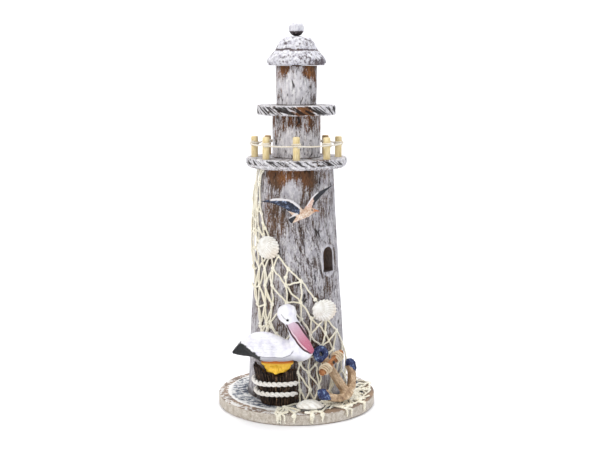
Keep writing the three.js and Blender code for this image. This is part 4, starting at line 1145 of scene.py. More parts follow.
feather = np.abs(((across / 2.3 + 0.35 * fbm(x / 9, y / 9, z / 4, 2, 501)) % 1.0) - 0.5) * 2
tips = np.abs((((x - 1.3 * across) / 7.0 + 0.5 * np.floor(across / 2.3)) % 1.0) - 0.5) * 2
groove = (step(0.8, 1.0, feather) + 0.45 * step(0.86, 1.0, tips)) * wing * step(-4, -22, x)
barb = line(perlin((x - 0.8 * z) / 6, y / 3, (z + 0.55 * x) / 1.1, 502), 0.3) * wing
tail_mask = step(-38, -46, x)
back = step(0.5, 0.9, N[:, 2])
V = V + N * (0.85 * wing * (1 - 0.6 * back) - 0.26 * groove - 0.08 * barb - 0.10 * (1 - wing) * step(78, 60, z) * line(perlin(x / 4, y / 3, z / 1.6, 503), 0.3))[:, None]
jag = 1.5 * perlin(x / 1.6, y * 0, z / 1.6, 504) + 1.2 * np.abs(((z / 2.6) % 1.0) - 0.5)
edge = np.interp(z, [55, 57.3, 60.2, 62.6, 65.4, 66.6, 70], [-29.5, -30.6, -34.6, -39.4, -41.8, -45.0, -49.5])
black = step(0.5, -0.5, x - edge - jag)
LEFT = [(-7.6, 83.4), (-5.6, 78.8), (-3.4, 74.7), (0.6, 68.2), (3.4, 65.0), (6.4, 62.4), (11.4, 59.6)]
RIGHT = [(-0.6, 85.6), (1.8, 83.8), (6.2, 77.1), (10.2, 71.6), (14.2, 66.4)]
MID = [(-5.2, 84.6), (1.4, 75.0), (7.6, 66.6), (12.8, 60.6)]
dl, tl = poly_dist(x, z, LEFT)
dr, tr = poly_dist(x, z, RIGHT)
dm, tm = poly_dist(x, z, MID)
face = step(0.55, 0.1, N[:, 1]) * (y < PY + 1.5)
beak = inside_poly(x, z, [(-7.4, 83.4), (-3.4, 74.7), (0.6, 68.2), (6.4, 62.4), (11.4, 58.5), (17, 57), (17, 66), (14.2, 66.6), (6.2, 77.3), (1.8, 84.0), (-2, 85.6)]) * 1.0
beak_back = (dm < 6.5) * (x > -5 + (84 - z) * 0.3) * (x > -1) * 1.0
pink = np.where(y < PY + 1.5, beak * face, 0)
pink = np.maximum(pink, ((poly_dist(x, z, [(4, 76), (13.2, 60.4)])[0] < 5.6) & (x > 3.6 - (z - 76) * 0.45) & (z < 82)) * 1.0 * (N[:, 0] > -0.9) * (x > 6.5 - (z - 70) * 0.62))
maroon = np.maximum(step(0.85, 0.35, dl), step(0.9, 0.4, dr)) * face * (z < 85.5)
strip = step(0.75, 1.15, dl) * step(2.1, 1.5, dl) * step(0.12, 0.3, tl) * step(0.95, 0.8, tl) * beak * face
eye = step(1.15, 0.8, np.hypot(x + 7.0, z - 87.3)) * (y < PY - 2)
eyeline = step(0.6, 0.2, poly_dist(x, z, [(-7.6, 87.4), (-9.6, 88.8), (-11.8, 91.6)])[0]) * (y < PY - 1) * 0.5
line_low = step(0.8, 0.2, np.abs(z - wl_z + 0.1)) * step(-1.5, -3.5, x) * step(-50, -40, x) * (np.abs(N[:, 1]) > 0.3)
V = V + N * (0.28 * maroon + 0.35 * eye - 0.12 * line_low + 0.3 * beak * face * bell(dm, 0, 1.6) * step(0.05, 0.2, tm))[:, None]
write_mesh(me, V, black=black, pink=pink, bt=np.clip(tm, 0, 1), maroon=np.maximum(maroon, 0), strip=strip, eye=np.maximum(eye, eyeline),
           shade=np.clip(0.22 * groove + 0.9 * line_low + 0.16 * barb * step(-4, -20, x) + 0.3 * (1 - wing) * step(59.5, 56.5, z) * step(8, 2, x) + 0.35 * step(58, 52, z) * (1 - wing), 0, 1), under=step(56, 51.5, z) * step(-26, -14, x))


def pelican_material():
    m = Mat("pelican_paint", 0.42, 0.45)
    black, pink, bt, maroon, strip, eye, shade, under = (m.attr(k) for k in ("black", "pink", "bt", "maroon", "strip", "eye", "shade", "under"))
    n = m.noise(m.scaled(0.7, 0.7, 0.7), 3, 0.6)
    big = m.noise(m.scaled(6, 6, 6), 2, 0.5)
    white = m.ramp(big, [(0.3, srgb(222, 220, 232)), (0.5, srgb(238, 237, 242)), (0.7, srgb(246, 246, 247))])
    white = m.mix(m.ramp(n, [(0.3, 0.25), (0.45, 0.0)]), white, srgb(190, 188, 204))
    col = m.mix(m.ramp(shade, [(0.05, 0.0), (0.9, 0.95)]), white, srgb(118, 118, 132))
    pk = m.ramp(bt, [(0.0, srgb(206, 188, 204)), (0.28, srgb(196, 150, 168)), (0.6, srgb(188, 104, 130)), (1.0, srgb(178, 84, 112))])
    pk = m.mix(m.ramp(n, [(0.35, 0.3), (0.55, 0.0)]), pk, srgb(226, 190, 200))
    col = m.mix(pink, col, pk)
    col = m.mix(strip, col, srgb(240, 226, 232))
    col = m.mix(m.ramp(maroon, [(0.3, 0.0), (0.7, 1.0)]), col, srgb(62, 34, 42))
    blk = m.ramp(n, [(0.35, srgb(9, 10, 11)), (0.6, srgb(19, 21, 23)), (0.78, srgb(58, 62, 66))])
    col = m.mix(black, col, blk)
    col = m.mix(eye, col, srgb(12, 12, 16))
    m.bump(m.math("ADD", n, big), 0.25, 0.15)
    return m.done(col, m.ramp(eye, [(0.5, 0.42), (0.9, 0.12)]))


piece("pelican", me, pelican_material(), ["pelican"])

# feet
bag = Bag()
web = [(-24.6, -43.2), (-25.4, -46.2), (-22.8, -49.0), (-20.6, -50.2), (-18.8, -52.6), (-16.9, -54.6), (-15.0, -52.4), (-13.0, -50.4), (-10.2, -49.4), (-7.0, -46.6), (-6.6, -43.2)]
bag.add(*prism(web, [0, 0, 0], [1, 0, 0], [0, 1, 0], [0, 0, 1], 39.9, 42.6))
for tip in ((-20.4, -49.6, 41.2), (-16.9, -53.6, 41.0), (-12.8, -49.8, 41.2)):
    bag.add(*taper([(-16.6, -46.4, 44.6), tuple(((np.array([-16.6, -46.4, 44.6]) + np.array(tip)) / 2 + [0, -1.2, 0.9]).tolist()), tip], [3.6, 2.6, 1.5], 18))
bag.add(*ellipsoid((-15.8, -46.0, 45.0), (11.2, 4.7, 6.4)))
bag.add(*ellipsoid((-16.0, -46.2, 47.8), (13.8, 5.0, 4.4)))
bag.add(*taper([(-21.5, -48.5, 43.5), (-18.0, -51.2, 42.2), (-17.0, -53.4, 40.0)], [3.2, 2.6, 1.3], 18))
me, V = remeshed("pelican_feet", bag, 0.34, 5)
N = normals_of(me)
# stay clear of the belly: nothing above the body's underside
x, y, z = V.T
t = -3 * RAD
bx, bz = (x + 18), (z - 62)
lim = 62.3 - 12.4 * np.sqrt(np.clip(1 - (bx / 25.2) ** 2 - ((y - PY) / 11.5) ** 2, 0.0, 1))
V[:, 2] = np.minimum(z, np.where(lim < 62, lim - 0.05, 49.6))
V[:, 2] = np.minimum(V[:, 2], 50.3 - 0.35)
write_mesh(me, V, hot=np.clip(step(46.4, 49.4, z), 0, 1))


def feet_material():
    m = Mat("feet_paint", 0.45, 0.4)
    hot = m.attr("hot")
    n = m.noise(m.scaled(1.2, 1.2, 1.2), 3, 0.6)
    col = m.mix(m.ramp(m.math("ADD", hot, m.math("MULTIPLY", m.math("SUBTRACT", n, 0.5), 0.5)), [(0.2, 0.0), (0.75, 1.0)]),
                m.ramp(n, [(0.3, srgb(236, 178, 38)), (0.7, srgb(248, 208, 74))]), srgb(214, 118, 34))
    m.bump(n, 0.3, 0.15)
    return m.done(col)


piece("pelican_feet", me, feet_material(), ["pelican_feet"])

# ---------------------------------------------------------------- piling of split slats
CUT = ([0, 14, 20, 45, 56], [44.9, 44.4, 43.6, 43.2, 42.6])


def pile_at(z):
    t = (z - 10.7) / (39.0 - 10.7)
    return -13.6 - 2.9 * t, -33.2 - 0.3 * t, 16.8 + 2.7 * t


nt = 520
th = np.arange(nt) / nt * 2 * PI


def pile_ring(z, inset, groove, flutes=0.0):
    """A ring at heights z (array over theta) set in by inset."""
    cx, cy, R0 = pile_at(z)
    R0 = R0 - inset - groove
    rc = np.interp(z, *CUT) + 0.25 + inset * 0.5
    m = np.hypot(cx, cy)
    qx, qy = cx / m * 49.0, cy / m * 49.0
    # angles run about the middle of the half-moon that is left
    dx, dy = np.cos(th), np.sin(th)
    fx, fy = qx - cx, qy - cy
    b = fx * dx + fy * dy
    d_out = -b + np.sqrt(np.maximum(b * b - (fx * fx + fy * fy - R0 * R0), 0))
    b2 = qx * dx + qy * dy
    disc = b2 * b2 - (qx * qx + qy * qy - rc * rc)
    d_in = np.where((disc > 0) & (b2 < 0), -b2 - np.sqrt(np.maximum(disc, 0)), 1e9)
    d = np.minimum(d_out, d_in)
    return np.stack([qx + d * dx, qy + d * dy, z], 1), d_in < d_out


zero = np.zeros(nt)
mid_ring, cutm = pile_ring(zero + 30.0, 0.0, 0.0)
cx, cy, _ = pile_at(30.0)
ang = np.arctan2(mid_ring[:, 1] - cy, mid_ring[:, 0] - cx)
rs = np.random.RandomState(5)
bounds_ = np.sort((np.arange(56) + rs.uniform(-0.3, 0.3, 56)) / 56 * 2 * PI - PI)
slat = np.searchsorted(bounds_, ang)
gap = np.min(np.abs(((ang[:, None] - bounds_[None, :] + PI) % (2 * PI)) - PI), 1) * 17.5
heights = rs.uniform(-2.8, 1.4, 58)
outs = rs.uniform(-0.6, 0.5, 58)
groove0 = 1.5 * np.exp(-(gap / 0.34) ** 2) - outs[slat]
top_z = 39.0 + heights[slat] - 1.6 * np.exp(-(gap / 0.3) ** 2) + 0.5 * perlin(ang * 9, zero, zero, 521)
top_z = top_z + 4.4 * np.exp(-((((np.degrees(ang) - 175 + 180) % 360) - 180) / 42) ** 2) + 2.0 * np.exp(-((((np.degrees(ang) + 12 + 180) % 360) - 180) / 26) ** 2)
front = np.degrees(ang) + 91
top_z = top_z + 3.6 * np.exp(-((front + 38) / 17) ** 2) + 3.2 * np.exp(-((front - 36) / 15) ** 2)
on_cut = cutm
top_z = np.where(on_cut, 38.4, top_z)
rings, cav_rows, face_rows = [], [], []
for j, w in enumerate(np.linspace(0, 1, 52)):
    z = 10.7 + (top_z - 10.7) * w
    fiber = 0.22 * fbm(ang * 17.5 / 0.8, zero + j * 0.05, z / 7, 2, 522) + 0.3 * line(perlin(ang * 17.5 / 1.5, zero, z / 9, 523), 0.25)
    chip = 0.45 * step(0.1, 0.5, perlin(ang * 6, zero, z / 4, 524))
    g = np.where(on_cut, 0.05, groove0 + fiber + chip)
    g = g + (0.25 if j == 0 else 0) + np.where(on_cut, 0, 0.35 * step(0.97, 1.0, w))
    P, _ = pile_ring(z, 0.0, np.maximum(g, -0.35))
    rings.append(P)
    # cav: painted shade in the gaps between the slats, plus the grain lines
    cav_rows.append(np.clip(np.where(on_cut, 0.2, np.exp(-(gap / 0.6) ** 2) + 0.5 * line(perlin(ang * 17.5 / 1.5, zero, z / 9, 523), 0.25)), 0, 1))
    face_rows.append(np.zeros(nt))
for inset, drop in ((1.0, 0.3), (2.2, 0.9), (2.6, 1.8), (4.0, 2.0), (6.0, 2.1)):
    z = top_z - drop - (0.6 * step(0.2, 0.6, perlin(ang * 7, zero, zero + inset, 525)) if inset < 3 else 0)
    z = np.where(on_cut, 38.4 - drop, z) if inset < 2.5 else zero + 36.6
    P, _ = pile_ring(z, inset, np.where(on_cut, 0, np.maximum(groove0, 0) * 0.6 * (inset < 2.5)))
    rings.append(P)
    # the inner part of the top, sunk below the rim, gets painted shade
    cav_rows.append(np.full(nt, 0.25 if inset < 2 else 0.55))
    face_rows.append(np.ones(nt))
V, Q, T = loft(rings)
cav = np.concatenate([np.concatenate(cav_rows), [0.6, 0.4]])
top = np.concatenate([np.concatenate(face_rows), [0, 1]])
me = build_mesh("piling", V, Q, T, {"cav": cav, "top": top, "slat": np.concatenate([np.tile(rs.uniform(0, 1, 58)[slat], len(rings)), [0.5, 0.5]])}, smooth=True)


def piling_material():
    m = Mat("split_timber", 0.75, 0.25)
    cav, top, sl = m.attr("cav"), m.attr("top"), m.attr("slat")
    g = m.noise(m.scaled(0.5, 0.5, 6), 4, 0.6)
    col = m.ramp(m.math("ADD", m.math("MULTIPLY", g, 0.86), m.math("MULTIPLY", sl, 0.14)),
                 [(0.32, srgb(26, 18, 15)), (0.48, srgb(56, 40, 31)), (0.6, srgb(98, 74, 56)), (0.72, srgb(168, 144, 116))])
    # near-black where cav is high: painted shade in the gaps and the sunken top, and darker grain lines
    col = m.mix(m.ramp(cav, [(0.25, 0.0), (0.8, 0.95)]), col, srgb(14, 10, 9))
    col = m.mix(m.math("MULTIPLY", top, 0.3), col, srgb(118, 94, 74))
    m.bump(g, 0.7, 0.25)
    return m.done(col)


piece("piling", me, piling_material(), ["piling"])

MAT_ROPE = twine_material("piling_cotton", srgb(248, 246, 242), srgb(238, 233, 226), srgb(150, 134, 118))
for name, z, seed in (("piling_rope_upper", 30.4, 0.0), ("piling_rope_lower", 21.4, 1.6)):
    cx, cy, R0 = pile_at(z)
    arc = []
    for d in np.arange(-262, 84, 2.0):
        r = R0 + 2.0
        x, y = cx + r * math.cos(d * RAD), cy + r * math.sin(d * RAD)
        if math.hypot(x, y) > float(tower_radius(z)) + 3.6 and y < 0:
            arc.append((x, y, z + 0.5 * math.sin(d * RAD * 3 + seed * 4)))
    P = smooth_path(arc, 0.45)
    t, U, W = frames_along(P)
    s = np.concatenate([[0], np.cumsum(np.linalg.norm(np.diff(P, axis=0), axis=1))])
    bag = Bag()
    taper_r = np.clip(np.minimum(s, s[-1] - s) / 3, 0.45, 1)
    for k in range(2):
        phi = s / 9.4 * 2 * PI + k * PI + seed + 0.5 * np.sin(s / 5)
        Pk = P + (U * np.cos(phi)[:, None] + W * np.sin(phi)[:, None]) * (0.98 * taper_r)[:, None]
        V, Q, T, cav = tube(Pk, 1.22 * (0.6 + 0.4 * taper_r), 14, 5, 0.06, 4.2)
        dist = np.linalg.norm(V - np.concatenate([np.repeat(P, 14, 0), P[:1], P[-1:]]), axis=1)
        bag.add(V, Q, T, cav=np.clip((1.35 - dist) / 1.0, 0, 1))
    V, Q, T, A = bag.arrays()
    piece(name, build_mesh(name, V, Q, T, A), MAT_ROPE, [name])


# ---------------------------------------------------------------- anchor
AO = np.array([42.8, -39.7, 18.3])
AX, AY, AZ = np.array([0.5926, 0.6761, 0.4379]), np.array([-0.5282, -0.0842, 0.8449]), np.array([0.6081, -0.732, 0.3072])
AX, AY, AZ = (k / np.linalg.norm(k) for k in (AX, AY, AZ))


def to_world(P):
    P = np.asarray(P, float)
    return AO + P[:, :1] * AX + P[:, 1:2] * AY + P[:, 2:] * AZ


def to_local(P):
    d = P - AO
    return np.stack([d @ AX, d @ AY, d @ AZ], 1)


def bar(points, halves, thick, bevel=0.7):
    """A planed bar in the anchor's plane: eight-sided section along the points."""
    P = np.asarray(points, float)
    rings = []
    n = len(P)
    for i in range(n):
        d = P[min(i + 1, n - 1)] - P[max(i - 1, 0)]
        d /= np.linalg.norm(d)
        nrm = np.array([-d[1], d[0]])
        h, k, b = halves[i], thick / 2, bevel
        sec = [(h, k - b), (h - b, k), (-h + b, k), (-h, k - b), (-h, -k + b), (-h + b, -k), (h - b, -k), (h, -k + b)]
        rings.append([[P[i][0] + nrm[0] * a, P[i][1] + nrm[1] * a, c] for a, c in sec])
    return loft(rings)


bag = Bag()
bag.add(*bar([(0, 0), (0, 18), (0, 37.2)], [3.2, 3.0, 2.9], 6.4, 0.9))
for s in (-1, 1):
    bag.add(*bar([(0, -0.6), (s * 9.0, 2.4), (s * 15.6, 8.6), (s * 19.4, 15.6), (s * 20.2, 19.4)], [3.0, 3.1, 3.0, 2.6, 1.8], 6.3, 0.9))
    fl = [(s * 15.2, 13.4), (s * 16.2, 10.8), (s * 19.6, 9.2), (s * 22.6, 11.6), (s * 24.6, 15.6), (s * 23.6, 19.0), (s * 21.2, 21.6), (s * 17.8, 19.8), (s * 15.4, 16.4)]
    if s < 0:
        fl = fl[::-1]
    V, Q, T = prism(fl, [0, 0, 0], [1, 0, 0], [0, 1, 0], [0, 0, 1], -2.5, 2.5)
    bag.add(V, Q, T)
crown = [(-5.2, -2.6), (-1.5, -3.1), (1.5, -3.1), (5.2, -2.6), (3.6, 4.6), (-3.6, 4.6)]
bag.add(*prism(crown, [0, 0, 0], [1, 0, 0], [0, 1, 0], [0, 0, 1], -3.2, 3.2))
t = np.linspace(0, 2 * PI, 49)[:-1]
V, Q, T, _ = tube(np.stack([4.6 * np.cos(t), 42.3 + 4.6 * np.sin(t), 0 * t], 1), 2.75, 16, closed=True, flat=1.2)
V[:, 2] = np.clip(V[:, 2], -2.6, 2.6)
bag.add(*outward(V, Q, T))
me, V = remeshed("anchor_body", bag, 0.38, 1, 0.4)
N = normals_of(me)
x, y, z = V.T
n1 = fbm(x / 5, y / 5, z / 5, 2, 601)
flat = perlin(x / 3.2, y / 7, z / 3.2, 602)
V = V + N * (0.1 * n1 + 0.32 * fbm(x / 2.2, y / 2.2, z / 2.2, 2, 605) * (step(14.8, 16.2, np.abs(x)) + step(36.6, 38.2, y)) + 0.16 * flat - 0.25 * line(perlin(x / 2.4, y / 8, z / 2.4, 603), 0.14))[:, None]
# r, the distance from the nail's axis, is not used; the nail's hole is cut further down, and SZ sets the stock clear in
# front
r = np.hypot(x, y - 32.6)
navy = np.clip(step(16.8, 18.0, np.abs(x) + 0.8 * n1 + 0.25 * (y - 14)) + step(36.6, 38.2, y + 1.2 * n1), 0, 1)
W = to_world(V)
# stand clear of the tower and of the base
rr = np.hypot(W[:, 0], W[:, 1])
need = tower_radius(W[:, 2]) + 0.35
k = np.where(rr < need, need / rr, 1.0)
W[:, :2] *= k[:, None]
W[:, 2] = np.maximum(W[:, 2], 10.75)
write_mesh(me, W, navy=navy, n1=n1, cav=line(perlin(x / 2.4, y / 8, z / 2.4, 603), 0.3) * (1 - navy))


def anchor_material():
    m = Mat("anchor_paint", 0.6, 0.35)
    navy, cav = m.attr("navy"), m.attr("cav")
    n = m.noise(m.scaled(1.4, 1.4, 1.4), 4, 0.65)
    big = m.noise(m.scaled(5, 5, 5), 3, 0.55)
    wood = m.ramp(m.math("ADD", m.math("MULTIPLY", n, 0.45), m.math("MULTIPLY", big, 0.55)),
                  [(0.34, srgb(122, 94, 70)), (0.44, srgb(168, 138, 108)), (0.55, srgb(196, 168, 136)), (0.66, srgb(226, 206, 178))])
    wood = m.mix(m.math("MULTIPLY", cav, 0.4), wood, srgb(96, 70, 48))
    # navy paint with painted highlights: the palest blue stands for light glancing off it
    blue = m.ramp(m.math("ADD", m.math("MULTIPLY", n, 0.6), m.math("MULTIPLY", big, 0.4)), [(0.36, srgb(16, 18, 40)), (0.48, srgb(34, 42, 84)), (0.56, srgb(60, 76, 124)), (0.64, srgb(160, 186, 220))])
    col = m.mix(m.ramp(navy, [(0.4, 0.0), (0.6, 1.0)]), wood, blue)
    m.bump(m.math("ADD", n, big), 0.5, 0.25)
    return m.done(col, m.ramp(navy, [(0.4, 0.62), (0.6, 0.4)]))


piece("anchor_body", me, anchor_material(), ["anchor_body"])

# stock: a turned rod bound with twine, held by a nail
SZ = 6.4 / 2 + 0.3 + 2.7
prof = [(0, -15, 0), (2.1, -15, 1), (2.7, -14.3, 1), (2.65, 0, 1), (2.7, 14.3, 1), (2.1, 15, 1), (0, 15, 0)]
V, D, R, az, Q, T = lathe(prof, 44, 0.5)
x, y, z = V.T
V = V + D * (0.14 * fbm(x / 1.5, y / 1.5, z / 5, 2, 611) * (np.abs(z) < 14.6))[:, None]
V = np.stack([V[:, 2], 32.6 + V[:, 0], SZ + V[:, 1]], 1)
V, Q, T = outward(to_world(V), Q, T)
STOCK = build_mesh("anchor_stock", V, Q, T)


def stock_material():
    m = Mat("stock_stain", 0.6, 0.3)
    n = m.noise(m.scaled(1.0, 1.0, 1.0), 4, 0.6)
    big = m.noise(m.scaled(4, 4, 4), 2, 0.5)
    col = m.ramp(m.math("ADD", m.math("MULTIPLY", n, 0.5), m.math("MULTIPLY", big, 0.5)),
                 [(0.32, srgb(104, 62, 34)), (0.5, srgb(160, 104, 62)), (0.68, srgb(196, 150, 106))])
    m.bump(n, 0.4, 0.2)
    return m.done(col)


def cut_nail(obj):
    V, D, R, az, Q, T = lathe([(0, -8, 0), (0.9, -8, 0), (0.9, 18, 0), (0, 18, 0)], 20)
    V = np.stack([V[:, 0], 32.6 + V[:, 1], V[:, 2]], 1)
    V = V[:, [0, 1, 2]]
    P = to_world(np.stack([V[:, 0], V[:, 1], V[:, 2]], 1))
    subtract(obj, *outward(P, Q, T))


obj = piece("anchor_stock", build_mesh("anchor_stock", V, Q, T), stock_material(), ["anchor_stock"])
cut_nail(obj)
MAT_BIND = twine_material("stock_cotton", srgb(244, 232, 206), srgb(222, 196, 158), srgb(120, 88, 56))
for name, s in (("stock_twine_left", -1), ("stock_twine_right", 1)):
    bag = Bag()
    turns = 3.6
    t = np.linspace(0, 1, 190)
    ang = t * turns * 2 * PI + s
    rr = 2.7 + 0.3 + 0.68
    P = np.stack([s * 8.6 + (t - 0.5) * 7.4, 32.6 + rr * np.cos(ang), SZ + rr * np.sin(ang)], 1)
    V, Q, T, cav = tube(to_world(P), 0.78, 9, 3, 0.14, 3.0)
    bag.add(V, Q, T, cav=cav)
    for j in (1,):  # a crossing turn on top
        ang = t[:60] * 0 + np.linspace(0, 2 * PI, 60) + j * PI
        P = np.stack([s * 8.6 + 2.6 * np.sin(ang) * (1 if j else -1), 32.6 + (rr + 0.95) * np.cos(ang + 0.4), SZ + (rr + 0.95) * np.sin(ang + 0.4)], 1)
        V, Q, T, cav = tube(to_world(P), 0.5, 8, 3, 0.12, 2.6)
        bag.add(V, Q, T, cav=cav * 0.6)
    V, Q, T, A = bag.arrays()
    piece(name, build_mesh(name, V, Q, T, A), MAT_BIND, [name])

nail_top = SZ + 2.7 + 0.3
V, D, R, az, Q, T = lathe([(0, -0.2, 0), (0.6, 0.6, 0), (0.6, nail_top, 0), (1.35, nail_top, 0), (1.4, nail_top + 0.35, 0), (1.1, nail_top + 0.75, 0), (0.6, nail_top + 0.95, 0), (0, nail_top + 1.0, 0)], 28)
V = np.stack([V[:, 0], 32.6 + V[:, 1], V[:, 2]], 1)


def nail_material():
    m = Mat("nail_steel", 0.45, 0.5)
    m.b.inputs["Metallic"].default_value = 0.85
    n = m.noise(m.scaled(0.6, 0.6, 0.6), 3, 0.6)
    return m.done(m.ramp(n, [(0.3, srgb(40, 36, 34)), (0.7, srgb(84, 78, 74))]), m.ramp(n, [(0.3, 0.35), (0.7, 0.6)]))


piece("anchor_nail", build_mesh("anchor_nail", *outward(to_world(V), Q, T)), nail_material(), ["anchor_nail"])
cut_nail(bpy.data.objects["anchor_body"])

# ---------------------------------------------------------------- shells
def shell_material(name, tan_amount):
    m = Mat(name, 0.32, 0.5)
    cav, rad_, tan_ = m.attr("cav"), m.attr("grow"), m.attr("tan")
    n = m.noise(m.scaled(1.2, 1.2, 1.2), 3, 0.6)
    band = m.noise(m.scaled(4, 4, 4), 2, 0.5)
    col = m.ramp(band, [(0.3, srgb(224, 220, 212)), (0.5, srgb(238, 236, 230)), (0.7, srgb(245, 244, 241))])
    col = m.mix(m.ramp(tan_, [(0.25, 0.0), (1.0, tan_amount)]), col, srgb(206, 172, 124))
    # painted shade in the troughs between the ribs
    col = m.mix(m.ramp(cav, [(0.5, 0.0), (1.0, 0.4)]), col, srgb(196, 186, 170))
    m.b.inputs["Coat Weight"].default_value = 0.15
    m.b.inputs["Coat Roughness"].default_value = 0.25
    m.bump(n, 0.12, 0.1)
    return m.done(col, m.ramp(n, [(0.3, 0.28), (0.7, 0.42)]))


def scallop(name, origin, side, up, out, across, along, depth, hinge_angle, ribs=17, rib_depth=0.55, spread=150, bright=0.5, ears=True):
    """A ribbed valve: hinge at hinge_angle (degrees from side towards up), thick and closed behind."""
    nr, na = 56, 220
    side, up, out = (np.asarray(k, float) / np.linalg.norm(k) for k in (side, up, out))
    phi = np.arange(na) / na * 2 * PI
    h = hinge_angle * RAD
    hx, hy = math.cos(h), math.sin(h)
    # outline: a disc squeezed towards the hinge
    d = ((phi - h + PI) % (2 * PI)) - PI
    rim = 1.0 - 0.05 * np.exp(-(d / 0.5) ** 2) + 0.06 * np.exp(-(d / 0.16) ** 2)
    # angle of each point about the hinge, for the ribs
    rings_top, rings_bot, cavs, grows, tans = [], [], [], [], []
    for i in range(nr):
        f = math.sin((i + 1) / nr * PI / 2)
        X = np.cos(phi) * rim * f
        Y = np.sin(phi) * rim * f
        ax, ay = X - hx * 0.97, Y - hy * 0.97
        dist = np.hypot(ax, ay)
        ang = np.arctan2(-hx * ay + hy * ax, -hx * ax - hy * ay)
        fan = np.clip(np.abs(ang) / (spread / 2 * RAD), 0, 1.2)
        wave = np.cos(ang / (spread * RAD) * ribs * 2 * PI)
        strength = step(0.12, 0.7, dist) * step(1.12, 0.9, fan)
        scale = 1 + 0.035 * wave * strength * (1 if i > nr - 8 else (i / nr) ** 4)
        dome = (1 - f ** 2.3) ** 0.8
        lift = depth * (0.16 + 0.84 * dome) + 0.9 * math.e ** 0 * np.exp(-(dist / 0.28) ** 2) * 0.8 * (1 - f)
        lift = lift + rib_depth * 0.5 * wave * strength * (0.45 + 0.55 * f) + 0.10 * np.cos(dist * 26) * strength
        lift = np.clip(lift, depth * 0.1, depth * 1.02 + 0.2)
        rings_top.append(np.stack([X * scale * across / 2, Y * scale * along / 2, lift], 1))
        # cav: the troughs between the ribs, which the material fills with painted shade
        cavs.append(np.clip(0.5 - 0.5 * wave, 0, 1) * strength)
        grows.append(dist)
        tans.append(np.clip(step(0.9, 1.9, dist) * (0.5 + 0.5 * np.sin(ang * 3 + 1.4)), 0, 1))
    top = rings_top[::-1]  # from the rim to the middle
    bottom = [np.stack([r[:, 0], r[:, 1], np.maximum(np.minimum(r[:, 2] * 0.0 + 0.02, r[:, 2]), 0)], 1) for r in rings_top]
    # closed: hollow side is a shallow dish
    dish = []
    for i, r in enumerate(rings_top):
        f = math.sin((i + 1) / nr * PI / 2)
        dish.append(np.stack([r[:, 0] * 0.985, r[:, 1] * 0.985, np.full(na, 0.02) + depth * 0.35 * (1 - f ** 2)], 1))
    rings = dish[::4] + [dish[-1]] + top[:1] + top[1:]
    V, Q, T = loft(rings)
    nb = len(dish[::4]) + 1
    cav = np.concatenate([np.zeros(na)] * nb + cavs[::-1] + [np.zeros(2)])
    grow = np.concatenate([np.full(na, 1.0)] * nb + grows[::-1] + [np.ones(2)])
    tan = np.concatenate([np.full(na, 0.3)] * nb + tans[::-1] + [np.zeros(2)])
    bag = Bag()
    bag.add(V, Q, T, cav=cav, grow=grow, tan=tan)
    if ears:
        for sgn in (-1, 1):
            tx, ty = -hy * sgn, hx * sgn
            e = [(hx * 0.80 + tx * 0.02, hy * 0.80 + ty * 0.02), (hx * 0.78 + tx * 0.40, hy * 0.78 + ty * 0.40), (hx * 1.0 + tx * 0.36, hy * 1.0 + ty * 0.36), (hx * 1.02 + tx * 0.02, hy * 1.02 + ty * 0.02)]
            e = [(a * across / 2, b * along / 2) for a, b in e]
            V, Q, T = prism(e, [0, 0, 0], [1, 0, 0], [0, 1, 0], [0, 0, 1], 0.1, 1.3)
            bag.add(V, Q, T, cav=0.1, grow=0.1, tan=0.1)
    V, Q, T, A = bag.arrays()
    V = np.asarray(origin) + V[:, :1] * side + V[:, 1:2] * up + V[:, 2:] * out
    return build_mesh(name, V, Q, T, A)


MAT_SHELL = shell_material("shell_white", 0.35)
for name, az, facing, z, across, along, depth, off, hinge in (("scallop_shell_upper", -37.5, -27.5, 142.6, 20.5, 19.5, 5.6, 3.0, 128),
                                                             ("scallop_shell_lower", 33.5, 23.5, 89.8, 22.0, 18.5, 5.6, 3.2, 150)):
    out = np.array([math.sin(facing * RAD), -math.cos(facing * RAD), 0.05])
    out /= np.linalg.norm(out)
    side = np.array([-out[1], out[0], 0])
    side /= np.linalg.norm(side)
    up = np.cross(out, side)
    r = float(tower_radius(z)) + off
    piece(name, scallop(name, [r * math.sin(az * RAD), -r * math.cos(az * RAD), z], side, up, out, across, along, depth, hinge), MAT_SHELL, [name])
piece("base_shell", scallop("base_shell", [11.2, -56, 12.2], [1, 0.06, 0], [-0.06, 1, 0], [0, 0, 1], 23.2, 14.6, 6.1, 172, ribs=9, rib_depth=0.3, bright=0.8, ears=False),
      shell_material("clam_white", 0.25), ["base_shell"])

# ---------------------------------------------------------------- gull
GY = -38.6
bag = Bag()
bag.add(*ellipsoid((4.6, GY, 171.6), (9.6, 4.3, 3.7), -24))
bag.add(*ellipsoid((4.4, GY + 2.9, 171.6), (4.2, 2.3, 2.6), 0))  # glue pad on the tower
bag.add(*ellipsoid((12.0, GY - 0.2, 175.0), (3.3, 2.9, 2.9)))
bag.add(*taper([(13.6, GY - 0.2, 175.0), (16.6, GY - 0.2, 175.0), (18.9, GY - 0.2, 174.4)], [1.5, 0.9, 0.35], 14))
bag.add(*taper([(8.0, GY, 172.4), (11.6, GY - 0.1, 174.8)], [3.6, 2.9], 20))


